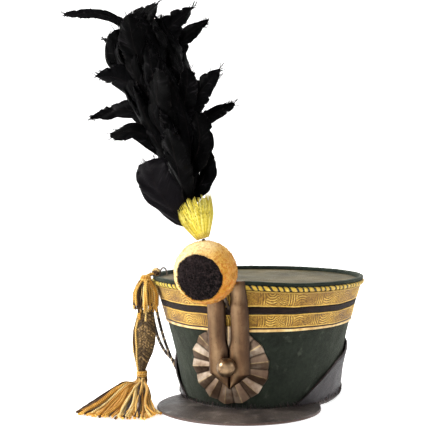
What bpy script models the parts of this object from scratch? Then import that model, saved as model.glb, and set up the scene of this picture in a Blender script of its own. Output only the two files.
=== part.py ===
# A shako: a felt cap that widens upwards, with leather peaks, gold lace, a fluted brass cockade under
# a double-bar loop, a wool pompom with a feather plume, and a cap line with a plaited flounder and
# tassels that hang at the wearer's right. Metres, +Z up. The front faces -Y and +X is the wearer's
# left. The origin is the middle of the head opening, on the surface that the cap rests on.

import math

import bpy
from mathutils import Matrix, Vector

CLEARANCE = 0.0003  # between pieces that touch

# Body: an ellipse at the foot and a wider one at the top, which leans forward by TOP_SHIFT
BODY_HEIGHT = 0.130
BASE_HALF_WIDTH = 0.081
BASE_HALF_LENGTH = 0.101
TOP_HALF_WIDTH = 0.1105
TOP_HALF_LENGTH = 0.114
TOP_SHIFT = -0.014
WAIST = 0.004  # how far the sides curve in, halfway up
FELT_WALL = 0.003
WALL_LEVELS = 5
RING_STEPS = 48

# Crown and edges
CROWN_THICK = 0.0025
CROWN_SINK = 0.0038
RIM_THICK = 0.0012
RIM_FACE = 0.0036
FOOT_THICK = 0.0013
FOOT_RISE = 0.0046

# Bands, in order down from the rim
BRAID_HEIGHT = 0.0046
BRAID_THICK = 0.0034
UPPER_LACE_HEIGHT = 0.0147
STRIPE_HEIGHT = 0.0060
LOWER_LACE_HEIGHT = 0.0136
EDGE_HEIGHT = 0.0036
LACE_THICK = 0.0010

# Front peak: the front of an ellipse round a centre of its own
PEAK_HALF_WIDTH = 0.083
PEAK_REACH = 0.080
PEAK_CENTRE_Y = -0.082
PEAK_THICK = 0.0026
PEAK_LIFT = 0.0003
PEAK_ROOT_RISE = 0.0010
PEAK_END_WIDTH = 0.0012
PEAK_STEPS = 36

# Back peak, folded up against the wall; its turn is measured from the back
BACK_PEAK_HEIGHT = 0.0625
BACK_PEAK_THICK = 0.0020
BACK_PEAK_TURN = math.radians(135)
BACK_PEAK_FLARE = 0.0014
BACK_PEAK_END = 0.0035

# Cockade
COCKADE_RADIUS = 0.040
COCKADE_X = -0.0017
COCKADE_LIFT = 0.0042
COCKADE_THICK = 0.0010
FLUTES = 14
FLUTE_RELIEF = 0.0026

# Loop: two bars side by side that join and end in a point
LOOP_X = 0.0016
LOOP_LEAN = math.radians(2.0)
BAR_WIDTH = 0.0180
BAR_DEPTH = 0.0060
BAR_GAP = 0.0058
GAP_FOOT = 0.016
LOOP_TOP_RISE = 0.0040
LOOP_POINT_DROP = 0.0235
LOOP_SHOULDER_DROP = 0.0080
BUTTON_RADIUS = 0.0094
BUTTON_FLAT = 0.0046  # from the ball's middle back to its flat

# Pompom and plume
POMPOM_RADIUS = 0.0296
POMPOM_X = -0.0058
POMPOM_RISE = 0.0145
FACE_RADIUS = 0.0218
FACE_RECESS = 0.0024
FACE_THICK = 0.0050
FACE_LIP = 0.0022
STEM_RADIUS = 0.0019
STEM_ASIDE = 0.0037
CUFF_LENGTH = 0.0370
CUFF_FOOT_RADIUS = 0.0076
CUFF_TOP_RADIUS = 0.0178
CUFF_LEAN = math.radians(-17)
CUFF_WALL = 0.0015
PLUG_RADIUS = 0.0118
PLUME_HEIGHT = 0.190
PLUME_WIDTH = 0.150
PLUME_DEPTH = 0.100

# Cap line
LINE_SIDE_Y = -0.074
HANG_OUT = 0.0045
HANG_FORWARD = 0.0100
KNOT_RADIUS = 0.0048
HOOK_HEIGHT = 0.0085
HOOK_WIRE = 0.0009
HOOK_INWARD = 0.0125
HOOK_AHEAD = 0.0030
HOOK_HALF_SPAN = 0.0042
TASSEL_LENGTH = 0.034
TASSEL_SPREAD = 0.0128
TASSEL_DROP = 0.0020
TASSEL_HEAD_RADIUS = 0.0062
TASSEL_HEAD_LENGTH = 0.0110
TASSEL_LOCK_RADIUS = 0.0046
TASSEL_LOCKS = 8
FLOUNDER_TOP = BODY_HEIGHT - TASSEL_LENGTH
FLOUNDER_LENGTH = 0.0630
FLOUNDER_WIDTH = 0.0240
FLOUNDER_THICK = 0.0090
FLOUNDER_SWAY = -0.0057
BINDING_RADIUS = 0.0056
BINDING_LENGTH = 0.0068
FRINGE_LENGTH = 0.096
FRINGE_HEAD = 0.0090
FRINGE_STRAND = 0.0058
CORD_DIAMETER = 0.0034
CORD_STEP = 0.0114
CATCH_TURN = math.radians(56)
CATCH_HALF = 0.0055
CATCH_THICK = 0.0032
CATCH_CORNERS = ((-1, -0.9), (1, -0.9), (1, 0.9), (-1, 0.9))

LOOKS = {  # colour, roughness, metallic
    "felt_green": ((0.030, 0.058, 0.045), 0.95, 0.0),
    "crown_leather": ((0.16, 0.15, 0.10), 0.60, 0.0),
    "black_leather": ((0.035, 0.028, 0.028), 0.45, 0.0),
    "gold_lace": ((0.60, 0.38, 0.10), 0.55, 0.3),
    "dark_stripe": ((0.045, 0.022, 0.020), 0.80, 0.0),
    "yellow_braid": ((0.68, 0.52, 0.06), 0.70, 0.0),
    "aged_brass": ((0.25, 0.17, 0.10), 0.42, 0.9),
    "yellow_wool": ((0.72, 0.45, 0.12), 0.95, 0.0),
    "black_wool": ((0.012, 0.008, 0.012), 0.95, 0.0),
    "yellow_feather": ((0.80, 0.66, 0.10), 0.75, 0.0),
    "black_feather": ((0.008, 0.008, 0.009), 0.50, 0.0),
    "line_cord": ((0.14, 0.09, 0.05), 0.85, 0.0),
    "gold_fringe": ((0.58, 0.38, 0.12), 0.80, 0.0),
    "iron_wire": ((0.12, 0.11, 0.10), 0.45, 0.9),
}


# Scene and mesh helpers


def clear_scene():
    for thing in list(bpy.data.objects):
        bpy.data.objects.remove(thing, do_unlink=True)


def material(look):
    made = bpy.data.materials.get(look)
    if made is None:
        colour, roughness, metallic = LOOKS[look]
        made = bpy.data.materials.new(look)
        made.use_nodes = True
        shader = made.node_tree.nodes["Principled BSDF"]
        shader.inputs["Base Color"].default_value = (*colour, 1.0)
        shader.inputs["Roughness"].default_value = roughness
        shader.inputs["Metallic"].default_value = metallic
    return made


def add_mesh(name, points, faces, look):
    mesh = bpy.data.meshes.new(name)
    mesh.from_pydata([tuple(p) for p in points], [], faces)
    mesh.validate()
    mesh.shade_smooth()
    mesh.set_sharp_from_angle(angle=math.radians(35))
    mesh.materials.append(material(look))
    made = bpy.data.objects.new(name, mesh)
    bpy.context.collection.objects.link(made)
    return made


def signed_volume(points, faces):
    """Six times the volume: positive where the faces point out."""
    total = 0.0
    for face in faces:
        for second, third in zip(face[1:-1], face[2:]):
            total += points[face[0]].dot(points[second].cross(points[third]))
    return total


def facing_out(points, faces):
    if signed_volume(points, faces) < 0:
        return [tuple(reversed(face)) for face in faces]
    return faces


def loft(name, rows, look, cyclic=False):
    """A closed solid through rows of points; each row is a closed outline of the same count."""
    count = len(rows[0])
    points = [Vector(p) for row in rows for p in row]
    faces = []
    for row in range(len(rows) if cyclic else len(rows) - 1):
        here = row * count
        there = (row + 1) % len(rows) * count
        for k in range(count):
            after = (k + 1) % count
            faces.append((here + k, here + after, there + after, there + k))
    if not cyclic:
        faces.append(tuple(reversed(range(count))))
        faces.append(tuple(range((len(rows) - 1) * count, len(rows) * count)))
    return add_mesh(name, points, facing_out(points, faces), look)


def turned(name, profile, steps, look, place):
    """A profile of (radius, along) turned round the Z axis of place; its two ends are on the axis."""
    points = [place @ Vector((0, 0, profile[0][1]))]
    for radius, along in profile[1:-1]:
        for k in range(steps):
            turn = 2 * math.pi * k / steps
            points.append(place @ Vector((radius * math.cos(turn), radius * math.sin(turn), along)))
    points.append(place @ Vector((0, 0, profile[-1][1])))
    faces, last, rings = [], len(points) - 1, len(profile) - 2
    for k in range(steps):
        after = (k + 1) % steps
        faces.append((0, 1 + after, 1 + k))
        for ring in range(rings - 1):
            low, high = 1 + ring * steps, 1 + (ring + 1) * steps
            faces.append((low + k, low + after, high + after, high + k))
        top = 1 + (rings - 1) * steps
        faces.append((top + k, top + after, last))
    return add_mesh(name, points, facing_out(points, faces), look)


def tube(name, points, radius, look, sides_level=2):
    """A round cord or wire along the points, with closed ends."""
    curve = bpy.data.curves.new(name, "CURVE")
    curve.dimensions = "3D"
    curve.bevel_depth = radius
    curve.bevel_resolution = sides_level
    curve.use_fill_caps = True
    spline = curve.splines.new("POLY")
    spline.points.add(len(points) - 1)
    for place, point in zip(spline.points, points):
        place.co = (*point, 1.0)
    curve.materials.append(material(look))
    made = bpy.data.objects.new(name, curve)
    bpy.context.collection.objects.link(made)
    return made


def along(points, k):
    return (points[min(k + 1, len(points) - 1)] - points[max(k - 1, 0)]).normalized()


def lock(name, path, radii, look, sides=5):
    """A tapering round lock of threads along a path."""
    rows, side = [], None
    for k, (here, radius) in enumerate(zip(path, radii)):
        direction = along(path, k)
        if side is None:
            side = direction.orthogonal()
        side = (side - direction * side.dot(direction)).normalized()
        up = direction.cross(side)
        row = []
        for j in range(sides):
            turn = 2 * math.pi * j / sides
            row.append(here + (side * math.cos(turn) + up * math.sin(turn)) * radius)
        rows.append(row)
    return loft(name, rows, look)


def as_cutter(thing):
    thing.hide_render = True
    thing.display_type = "WIRE"
    return thing


def boolean(target, other, operation):
    step = target.modifiers.new(other.name, "BOOLEAN")
    step.operation = operation
    step.object = as_cutter(other)
    step.solver = "EXACT"


def fuse(head, locks):
    """The locks become one body with their head."""
    for lock in locks:
        boolean(head, lock, "UNION")
    return head


def smooth_path(points, steps):
    """Points along a Catmull-Rom curve through the given ones."""
    ends = [2 * points[0] - points[1], *points, 2 * points[-1] - points[-2]]
    path = []
    for before, start, end, after in zip(ends, ends[1:], ends[2:], ends[3:]):
        for k in range(steps):
            t = k / steps
            path.append(
                0.5
                * (
                    2 * start
                    + (end - before) * t
                    + (2 * before - 5 * start + 4 * end - after) * t**2
                    + (3 * start - before - 3 * end + after) * t**3
                )
            )
    return [*path, points[-1]]


def spaced(path, step):
    """The same path with points an even step apart."""
    lengths = [0.0]
    for start, end in zip(path, path[1:]):
        lengths.append(lengths[-1] + (end - start).length)
    count = max(2, round(lengths[-1] / step))
    even, at = [], 0
    for k in range(count + 1):
        want = lengths[-1] * k / count
        while at < len(path) - 2 and lengths[at + 1] < want:
            at += 1
        share = (want - lengths[at]) / (lengths[at + 1] - lengths[at])
        even.append(path[at].lerp(path[at + 1], share))
    return even


# The body's surface


def section(height, offset):
    """Centre, half width and half length of the wall's outline at a height."""
    share = height / BODY_HEIGHT
    half_width = BASE_HALF_WIDTH + (TOP_HALF_WIDTH - BASE_HALF_WIDTH) * share + offset
    half_width -= WAIST * 4 * share * (1 - share)
    half_length = BASE_HALF_LENGTH + (TOP_HALF_LENGTH - BASE_HALF_LENGTH) * share + offset
    return TOP_SHIFT * share, half_width, half_length


def wall_point(turn, height, offset):
    """A point at a turn from the back, offset outwards from the wall's outer face."""
    centre_y, half_width, half_length = section(height, offset)
    return Vector((half_width * math.sin(turn), centre_y + half_length * math.cos(turn), height))


def front_point(x, height, offset):
    """A point on the front of the wall at a given x."""
    centre_y, half_width, half_length = section(height, offset)
    reach = math.sqrt(max(0.0, 1 - (x / half_width) ** 2))
    return Vector((x, centre_y - half_length * reach, height))


def face_y(height, offset):
    """The wall's foremost line, moved out; flat hardware is measured from it."""
    return front_point(0, height, 0).y - offset


def ring(name, profile, look):
    """A closed ring round the body through (offset, height) pairs."""
    turns = [2 * math.pi * k / RING_STEPS for k in range(RING_STEPS)]
    rows = [[wall_point(turn, height, offset) for offset, height in profile] for turn in turns]
    return loft(name, rows, look, cyclic=True)


FRONT_LEAN = math.atan2(face_y(0, 0) - face_y(BODY_HEIGHT, 0), BODY_HEIGHT)
RIM_OUTER = CLEARANCE + RIM_THICK
BAND_OUTER = CLEARANCE + LACE_THICK
BRAID_OUTER = CLEARANCE + BRAID_THICK
FOOT_OUTER = CLEARANCE + FOOT_THICK
CROWN_TOP = BODY_HEIGHT - CROWN_SINK


# Body, crown and edges


def felt_body():
    foot = FOOT_THICK + CLEARANCE
    top = BODY_HEIGHT - RIM_THICK - CLEARANCE
    crown_foot = CROWN_TOP - CROWN_THICK
    levels = [foot + (top - foot) * k / WALL_LEVELS for k in range(WALL_LEVELS + 1)]
    outer = [(0, height) for height in levels]
    inner = [(-FELT_WALL, height) for height in levels[:-1] + [crown_foot, top]]
    return ring("felt_body", outer + inner[::-1], "felt_green")


def crown_top():
    edge = -FELT_WALL - CLEARANCE
    rows = []
    for height in (CROWN_TOP - CROWN_THICK, CROWN_TOP):
        turns = [2 * math.pi * k / RING_STEPS for k in range(RING_STEPS)]
        rows.append([wall_point(turn, height, edge) for turn in turns])
    return loft("crown_top", rows, "crown_leather")


def rim_binding():
    inner = -FELT_WALL - CLEARANCE
    wall_top = BODY_HEIGHT - RIM_THICK
    profile = [
        (CLEARANCE, BODY_HEIGHT - RIM_FACE),
        (RIM_OUTER, BODY_HEIGHT - RIM_FACE),
        (RIM_OUTER, BODY_HEIGHT - RIM_THICK / 2),
        (RIM_OUTER - RIM_THICK / 2, BODY_HEIGHT),
        (inner - RIM_THICK / 2, BODY_HEIGHT),
        (inner - RIM_THICK, BODY_HEIGHT - RIM_THICK / 2),
        (inner - RIM_THICK, CROWN_TOP + CLEARANCE),
        (inner, CROWN_TOP + CLEARANCE),
        (inner, wall_top),
        (CLEARANCE, wall_top),
    ]
    return ring("rim_binding", profile, "felt_green")


def base_binding():
    profile = [
        (FOOT_OUTER, 0),
        (FOOT_OUTER, FOOT_RISE),
        (CLEARANCE, FOOT_RISE),
        (CLEARANCE, FOOT_THICK),
        (-FELT_WALL, FOOT_THICK),
        (-FELT_WALL, 0),
    ]
    return ring("base_binding", profile, "black_leather")


# Bands


def band_heights():
    """The top and foot of each band, down from the rim."""
    sizes = {
        "rim_braid": BRAID_HEIGHT,
        "lace_upper": UPPER_LACE_HEIGHT,
        "lace_stripe": STRIPE_HEIGHT,
        "lace_lower": LOWER_LACE_HEIGHT,
        "lace_edge": EDGE_HEIGHT,
    }
    heights, top = {}, BODY_HEIGHT - RIM_FACE - CLEARANCE
    for name, size in sizes.items():
        heights[name] = (top, top - size)
        top -= size + CLEARANCE
    return heights


BANDS = band_heights()


def flat_band(name, look):
    top, foot = BANDS[name]
    profile = [(CLEARANCE, foot), (BAND_OUTER, foot), (BAND_OUTER, top), (CLEARANCE, top)]
    return ring(name, profile, look)


def rim_braid():
    top, foot = BANDS["rim_braid"]
    bulge = BRAID_HEIGHT / 4
    profile = [
        (CLEARANCE, foot),
        (CLEARANCE + BRAID_THICK / 2, foot),
        (BRAID_OUTER, foot + bulge),
        (BRAID_OUTER, top - bulge),
        (CLEARANCE + BRAID_THICK / 2, top),
        (CLEARANCE, top),
    ]
    return ring("rim_braid", profile, "yellow_braid")


# Peaks


PEAK_INNER = FOOT_OUTER + 2 * CLEARANCE
PEAK_ROOT = PEAK_LIFT + PEAK_THICK + PEAK_ROOT_RISE


def peak_outline(turn):
    """A point on the front peak's outer edge, at a turn from the back round its own centre."""
    return Vector((PEAK_HALF_WIDTH * math.sin(turn), PEAK_CENTRE_Y + PEAK_REACH * math.cos(turn), 0))


def peak_ends():
    """The turns of the body and of the peak's edge where the edge has come in to the body."""
    _, half_width, half_length = section(PEAK_ROOT, PEAK_INNER)
    low, high = math.radians(20), math.radians(150)
    for _ in range(40):
        middle = (low + high) / 2
        edge = peak_outline(middle)
        outside = math.hypot(edge.x / half_width, edge.y / half_length) > 1
        low, high = (low, middle) if outside else (middle, high)
    edge = peak_outline(high)
    return math.atan2(edge.x / half_width, edge.y / half_length), high


def peak():
    """Leather sewn to the foot of the wall, a little higher there than at its free edge."""
    body_turn, edge_turn = peak_ends()
    low, high = PEAK_LIFT, PEAK_LIFT + PEAK_THICK
    rows = []
    for k in range(PEAK_STEPS + 1):
        share = k / PEAK_STEPS
        around = body_turn + (2 * math.pi - 2 * body_turn) * share
        edge = peak_outline(edge_turn + (2 * math.pi - 2 * edge_turn) * share)
        inner_low = wall_point(around, low, PEAK_INNER)
        inner_high = wall_point(around, PEAK_ROOT, PEAK_INNER)
        narrowest = wall_point(around, PEAK_ROOT, PEAK_INNER + PEAK_END_WIDTH)
        outer = edge if edge.length > narrowest.length else narrowest
        outer = Vector((outer.x, outer.y, low))
        outline = [inner_low, outer, outer + Vector((0, 0, PEAK_THICK * 0.65))]
        for reach, height in ((0.985, high), (0.45, high + PEAK_ROOT_RISE * 0.35)):
            at = inner_high.lerp(outer, reach)
            outline.append(Vector((at.x, at.y, height)))
        rows.append(outline + [inner_high])
    return loft("peak", rows, "black_leather")


def back_peak():
    """Leather folded up against the wall: tallest at the back, its free edge a little off the wall."""
    foot = FOOT_RISE + CLEARANCE
    inner = CLEARANCE + LACE_THICK / 2
    steps = 2 * round(BACK_PEAK_TURN / (2 * math.pi / RING_STEPS))
    rows = []
    for k in range(steps + 1):
        turn = BACK_PEAK_TURN * (2 * k / steps - 1)
        share = abs(turn) / BACK_PEAK_TURN
        rise = (BACK_PEAK_HEIGHT - foot - BACK_PEAK_END) * max(0.0, 1 - share**4) ** 1.2 + BACK_PEAK_END
        outline = []
        for part, lift in ((0, 0), (0.5, 0.15), (1, 1)):
            outline.append(wall_point(turn, foot + rise * part, inner + BACK_PEAK_FLARE * lift))
        for part, lift in ((1, 1), (0.5, 0.15), (0, 0)):
            offset = inner + BACK_PEAK_FLARE * lift + BACK_PEAK_THICK
            outline.append(wall_point(turn, foot + rise * part, offset))
        rows.append(outline)
    return loft("back_peak", rows, "black_leather")


# Front hardware


COCKADE_Z = FOOT_RISE + COCKADE_LIFT + COCKADE_RADIUS
COCKADE_BACK = BAND_OUTER + 2 * CLEARANCE
COCKADE_FRONT = COCKADE_BACK + COCKADE_THICK + FLUTE_RELIEF
LOOP_BACK = COCKADE_FRONT + CLEARANCE
LOOP_TOP_BACK = BRAID_OUTER + CLEARANCE


def cockade_disc():
    """Radial flutes bent to the wall: ridges and valleys by turns, on a back that follows the wall."""
    count = 2 * FLUTES
    rings = ((0.22, 0.45), (0.62, 0.8), (1.0, 1.0))
    rows = [[], [], [], [], []]
    for k in range(count):
        turn = 2 * math.pi * (k + 0.5) / count
        ridge = k % 2 == 0
        reach = COCKADE_RADIUS * (1.0 if ridge else 0.965)
        for row, (share, relief) in enumerate(rings):
            x = COCKADE_X + reach * share * math.sin(turn)
            height = COCKADE_Z + reach * share * math.cos(turn)
            lift = COCKADE_THICK + (FLUTE_RELIEF * relief if ridge else 0)
            rows[row].append(front_point(x, height, COCKADE_BACK + lift))
            if row != 1:
                rows[3 if row == 2 else 4].append(front_point(x, height, COCKADE_BACK))
    return loft("cockade_disc", rows, "aged_brass")


BAR_SECTION = (  # share of the bar's width from its inner edge, share of its depth
    (0.0, 0.0),
    (0.0, 0.55),
    (0.2, 0.88),
    (0.5, 1.0),
    (0.8, 0.88),
    (1.0, 0.55),
    (1.0, 0.0),
)


def loop_centre(height):
    """The line between the bars leans a little to the wearer's left."""
    return LOOP_X + (height - COCKADE_Z) * math.tan(LOOP_LEAN)


def loop_row(height, joined):
    """The outline of both bars at a height; once joined they share the two points between them."""
    shoulder = COCKADE_Z - LOOP_SHOULDER_DROP
    point = COCKADE_Z - LOOP_POINT_DROP
    bend_high = BANDS["rim_braid"][1] - BRAID_HEIGHT
    bend_low = bend_high - 2 * BRAID_HEIGHT
    centre = loop_centre(height)
    half_gap = 0 if joined else BAR_GAP / 2
    outer = BAR_GAP / 2 + BAR_WIDTH
    if height < shoulder:
        outer = max(outer * (height - point) / (shoulder - point), BAR_GAP / 4)
    bent = min(1.0, max(0.0, (height - bend_low) / (bend_high - bend_low)))
    back = LOOP_BACK + (LOOP_TOP_BACK - LOOP_BACK) * bent
    sides = []
    for side in (-1, 1):
        row = []
        for share, lift in BAR_SECTION:
            x = centre + side * (half_gap + (outer - half_gap) * share)
            row.append(Vector((x, face_y(height, back + BAR_DEPTH * lift), height)))
        sides.append(row)
    return sides


def loop():
    """Two bars that come together under a narrow gap and end in one point."""
    top = BODY_HEIGHT + LOOP_TOP_RISE
    bend_high = BANDS["rim_braid"][1] - BRAID_HEIGHT
    bend_low = bend_high - 2 * BRAID_HEIGHT
    gap_foot = COCKADE_Z + GAP_FOOT
    shoulder = COCKADE_Z - LOOP_SHOULDER_DROP
    point = COCKADE_Z - LOOP_POINT_DROP
    apart = [top, bend_high, bend_low, (bend_low + gap_foot) / 2, gap_foot + 2 * BAR_GAP]
    joined = [gap_foot, COCKADE_Z, shoulder, (shoulder + point) / 2, point]
    points, faces, before = [], [], None
    for height in apart + joined:
        together = height <= gap_foot
        left, right = loop_row(height, together)
        count = len(left)
        left_at = [len(points) + k for k in range(count)]
        points += left
        shared = 2 if together else 0
        right_at = left_at[:shared] + [len(points) + k for k in range(count - shared)]
        points += right[shared:]
        if before is None:
            faces += [tuple(left_at), tuple(reversed(right_at))]
        else:
            was_together, was_left, was_right = before
            for k in range(count):
                after = (k + 1) % count
                if k == 0 and was_together:
                    continue
                faces.append((was_left[k], left_at[k], left_at[after], was_left[after]))
                faces.append((was_right[after], right_at[after], right_at[k], was_right[k]))
        before = (together, left_at, right_at)
    _, left_at, right_at = before
    faces.append((left_at[0], *reversed(left_at[1:]), *right_at[2:]))
    return add_mesh("loop", points, facing_out(points, faces), "aged_brass")


def leaning(x, height, offset):
    """A place in front of the wall whose Z axis points out, square to the sloping front."""
    turn = Matrix.Rotation(math.pi / 2 + FRONT_LEAN, 4, "X")
    return Matrix.Translation((x, face_y(height, offset), height)) @ turn


def ball_button():
    start = math.asin(BUTTON_FLAT / BUTTON_RADIUS)
    profile = [(0, -BUTTON_FLAT)]
    for k in range(9):
        turn = -start + (math.pi / 2 + start) * k / 8
        profile.append((BUTTON_RADIUS * math.cos(turn), BUTTON_RADIUS * math.sin(turn)))
    profile[-1] = (0, BUTTON_RADIUS)
    offset = LOOP_BACK + BAR_DEPTH + CLEARANCE + BUTTON_FLAT / math.cos(FRONT_LEAN)
    return turned("ball_button", profile, 16, "aged_brass", leaning(LOOP_X, COCKADE_Z, offset))


# Pompom and plume


POMPOM_Z = BODY_HEIGHT + POMPOM_RISE
LOOP_CREST_Y = face_y(BODY_HEIGHT, LOOP_TOP_BACK + BAR_DEPTH)
POMPOM_Y = LOOP_CREST_Y - CLEARANCE - POMPOM_RADIUS
POMPOM_CENTRE = Vector((POMPOM_X, POMPOM_Y, POMPOM_Z))
STEM_BEND_Z = POMPOM_Z - 0.88 * POMPOM_RADIUS
STEM_BEND = Vector((loop_centre(STEM_BEND_Z), LOOP_CREST_Y - STEM_RADIUS - 3 * CLEARANCE, STEM_BEND_Z))
STEM_THROUGH = POMPOM_CENTRE + Vector((STEM_ASIDE, 0.55 * POMPOM_RADIUS, 0))
PLUME_LEAN = (STEM_THROUGH - STEM_BEND).normalized()


def stem_at(height):
    """A point on the stem's straight upper run."""
    return STEM_THROUGH + PLUME_LEAN * ((height - STEM_THROUGH.z) / PLUME_LEAN.z)


CUFF_AXIS = Vector((math.sin(CUFF_LEAN), 0, math.cos(CUFF_LEAN)))
CUFF_SIDE = Vector((CUFF_AXIS.z, 0, -CUFF_AXIS.x))
CUFF_HEEL = 0.7  # the cuff's foot is this share of its radius where it meets the pompom
CUFF_FOOT = stem_at(POMPOM_Z + POMPOM_RADIUS + CUFF_HEEL * CUFF_FOOT_RADIUS * math.sin(-CUFF_LEAN))


def plume_stem():
    """A wire post: up between the bars from behind, forward over them and through the pompom."""
    low_height = BANDS["lace_upper"][1]
    low = Vector((loop_centre(low_height), face_y(low_height, BAND_OUTER + STEM_RADIUS), low_height))
    tilt = PLUME_LEAN.cross(CUFF_AXIS).length
    top = CUFF_FOOT - PLUME_LEAN * (CLEARANCE + STEM_RADIUS * tilt)
    points = [low, low.lerp(STEM_BEND, 0.85), STEM_BEND.lerp(top, 0.06), top]
    return tube("plume_stem", points, STEM_RADIUS, "iron_wire", 1)


def pompom_place():
    turn = Matrix.Rotation(math.pi / 2 + FRONT_LEAN, 4, "X")
    return Matrix.Translation(POMPOM_CENTRE) @ turn


FACE_PLANE = math.sqrt(POMPOM_RADIUS**2 - (FACE_RADIUS + FACE_LIP) ** 2)


def pompom():
    """A wool ball with a round recess in front for its dark face, threaded on the stem."""
    stop = math.asin(FACE_PLANE / POMPOM_RADIUS)
    profile = [(0, -POMPOM_RADIUS)]
    for k in range(1, 11):
        turn = -math.pi / 2 + (math.pi / 2 + stop) * k / 10
        profile.append((POMPOM_RADIUS * math.cos(turn), POMPOM_RADIUS * math.sin(turn)))
    profile.append((FACE_RADIUS + CLEARANCE, FACE_PLANE))
    profile.append((FACE_RADIUS + CLEARANCE, FACE_PLANE - FACE_RECESS))
    profile.append((0, FACE_PLANE - FACE_RECESS))
    ball = turned("pompom", profile, 24, "yellow_wool", pompom_place())
    foot, head = stem_at(POMPOM_Z - 2 * POMPOM_RADIUS), stem_at(POMPOM_Z + 2 * POMPOM_RADIUS)
    radius = STEM_RADIUS + 2 * CLEARANCE
    bore = lock("pompom_bore", [foot, head], (radius, radius), "yellow_wool", 8)
    boolean(ball, bore, "DIFFERENCE")
    return ball


def pompom_face():
    back = FACE_PLANE - FACE_RECESS + CLEARANCE
    profile = [(0, back), (FACE_RADIUS, back), (FACE_RADIUS, back + FACE_THICK * 0.5)]
    profile += [(FACE_RADIUS * 0.93, back + FACE_THICK * 0.8), (FACE_RADIUS * 0.6, back + FACE_THICK)]
    profile += [(0, back + FACE_THICK)]
    return turned("pompom_face", profile, 24, "black_wool", pompom_place())


CUFF_TOP = CUFF_FOOT + CUFF_AXIS * CUFF_LENGTH
CUFF_FLAT = 0.80
CUFF_FLOOR = 0.86
CUFF_TEETH = 0.0026


def cuff_ring(share, radius, serration=0.0, steps=18):
    row = []
    for k in range(steps):
        turn = 2 * math.pi * k / steps
        sway = CUFF_SIDE * math.cos(turn) + Vector((0, CUFF_FLAT * math.sin(turn), 0))
        lift = serration if k % 2 else 0.0
        row.append(CUFF_FOOT + CUFF_AXIS * (CUFF_LENGTH * share + lift) + sway * radius)
    return row


def feather_cuff():
    spread = CUFF_TOP_RADIUS - CUFF_FOOT_RADIUS
    rows = [cuff_ring(0, CUFF_FOOT_RADIUS * CUFF_HEEL), cuff_ring(0.08, CUFF_FOOT_RADIUS)]
    rows.append(cuff_ring(0.50, CUFF_FOOT_RADIUS + 0.72 * spread))
    rows.append(cuff_ring(0.93, CUFF_TOP_RADIUS, CUFF_TEETH))
    rows.append(cuff_ring(0.93, CUFF_TOP_RADIUS - CUFF_WALL, CUFF_TEETH))
    rows.append(cuff_ring(CUFF_FLOOR, PLUG_RADIUS + CUFF_WALL))
    return loft("feather_cuff", rows, "yellow_feather")


# Shares of the plume's width, depth and height, from the middle of the cuff's top
PLUME_SPINE = (  # side, rise, half width, half depth
    (-0.038, 0.034, 0.093, 0.12),
    (-0.078, 0.194, 0.140, 0.24),
    (-0.178, 0.446, 0.227, 0.30),
    (-0.278, 0.683, 0.253, 0.28),
    (-0.318, 0.857, 0.180, 0.20),
    (-0.318, 0.936, 0.060, 0.08),
)
FEATHERS = (  # root rise, middle side, middle rise, tip side, tip rise, middle depth, tip depth, width
    (0.72, -0.503, 0.925, -0.835, 0.933, -0.08, -0.12, 0.060),
    (0.70, -0.508, 0.783, -0.653, 0.815, 0.05, 0.08, 0.047),
    (0.60, -0.368, 0.825, -0.192, 0.962, -0.12, -0.10, 0.200),
    (0.62, -0.148, 0.831, -0.001, 0.936, -0.02, 0.05, 0.147),
    (0.60, -0.118, 0.778, 0.057, 0.888, 0.14, 0.20, 0.120),
    (0.52, -0.442, 0.704, -0.488, 0.841, -0.05, -0.12, 0.200),
    (0.42, -0.386, 0.599, -0.582, 0.604, -0.20, -0.26, 0.173),
    (0.36, -0.421, 0.462, -0.684, 0.404, -0.02, -0.04, 0.120),
    (0.22, -0.289, 0.336, -0.478, 0.331, -0.22, -0.28, 0.113),
    (0.01, -0.173, 0.104, -0.231, 0.188, -0.20, -0.28, 0.253),
    (0.34, 0.061, 0.509, 0.212, 0.625, -0.10, -0.12, 0.160),
    (0.36, 0.010, 0.509, 0.035, 0.625, -0.18, -0.24, 0.120),
    (0.34, 0.093, 0.425, 0.249, 0.473, 0.08, 0.14, 0.093),
    (0.14, 0.093, 0.294, 0.077, 0.420, -0.16, -0.22, 0.167),
    (0.02, 0.074, 0.125, 0.065, 0.246, 0.04, 0.02, 0.127),
    (0.02, -0.028, 0.173, -0.051, 0.336, -0.26, -0.42, 0.187),
    (0.30, -0.141, 0.473, -0.089, 0.594, -0.30, -0.50, 0.187),
    (0.55, -0.295, 0.725, -0.304, 0.873, -0.26, -0.42, 0.187),
    (0.02, -0.088, 0.157, -0.185, 0.304, 0.26, 0.42, 0.213),
    (0.26, -0.153, 0.431, -0.187, 0.578, 0.32, 0.50, 0.213),
    (0.34, -0.311, 0.546, -0.435, 0.694, 0.24, 0.40, 0.200),
    (0.56, -0.257, 0.746, -0.301, 0.904, 0.24, 0.40, 0.200),
)
PLUME_LIFT = 0.0012
FEATHER_THICK = 0.0034


def plume_point(side, depth, rise):
    foot = CUFF_TOP + CUFF_AXIS * PLUME_LIFT
    return foot + Vector((PLUME_WIDTH * side, PLUME_DEPTH * depth, PLUME_HEIGHT * rise))


def spine_side(rise):
    for low, high in zip(PLUME_SPINE, PLUME_SPINE[1:]):
        if rise <= high[1]:
            return low[0] + (high[0] - low[0]) * (rise - low[1]) / (high[1] - low[1])
    return PLUME_SPINE[-1][0]


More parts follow.
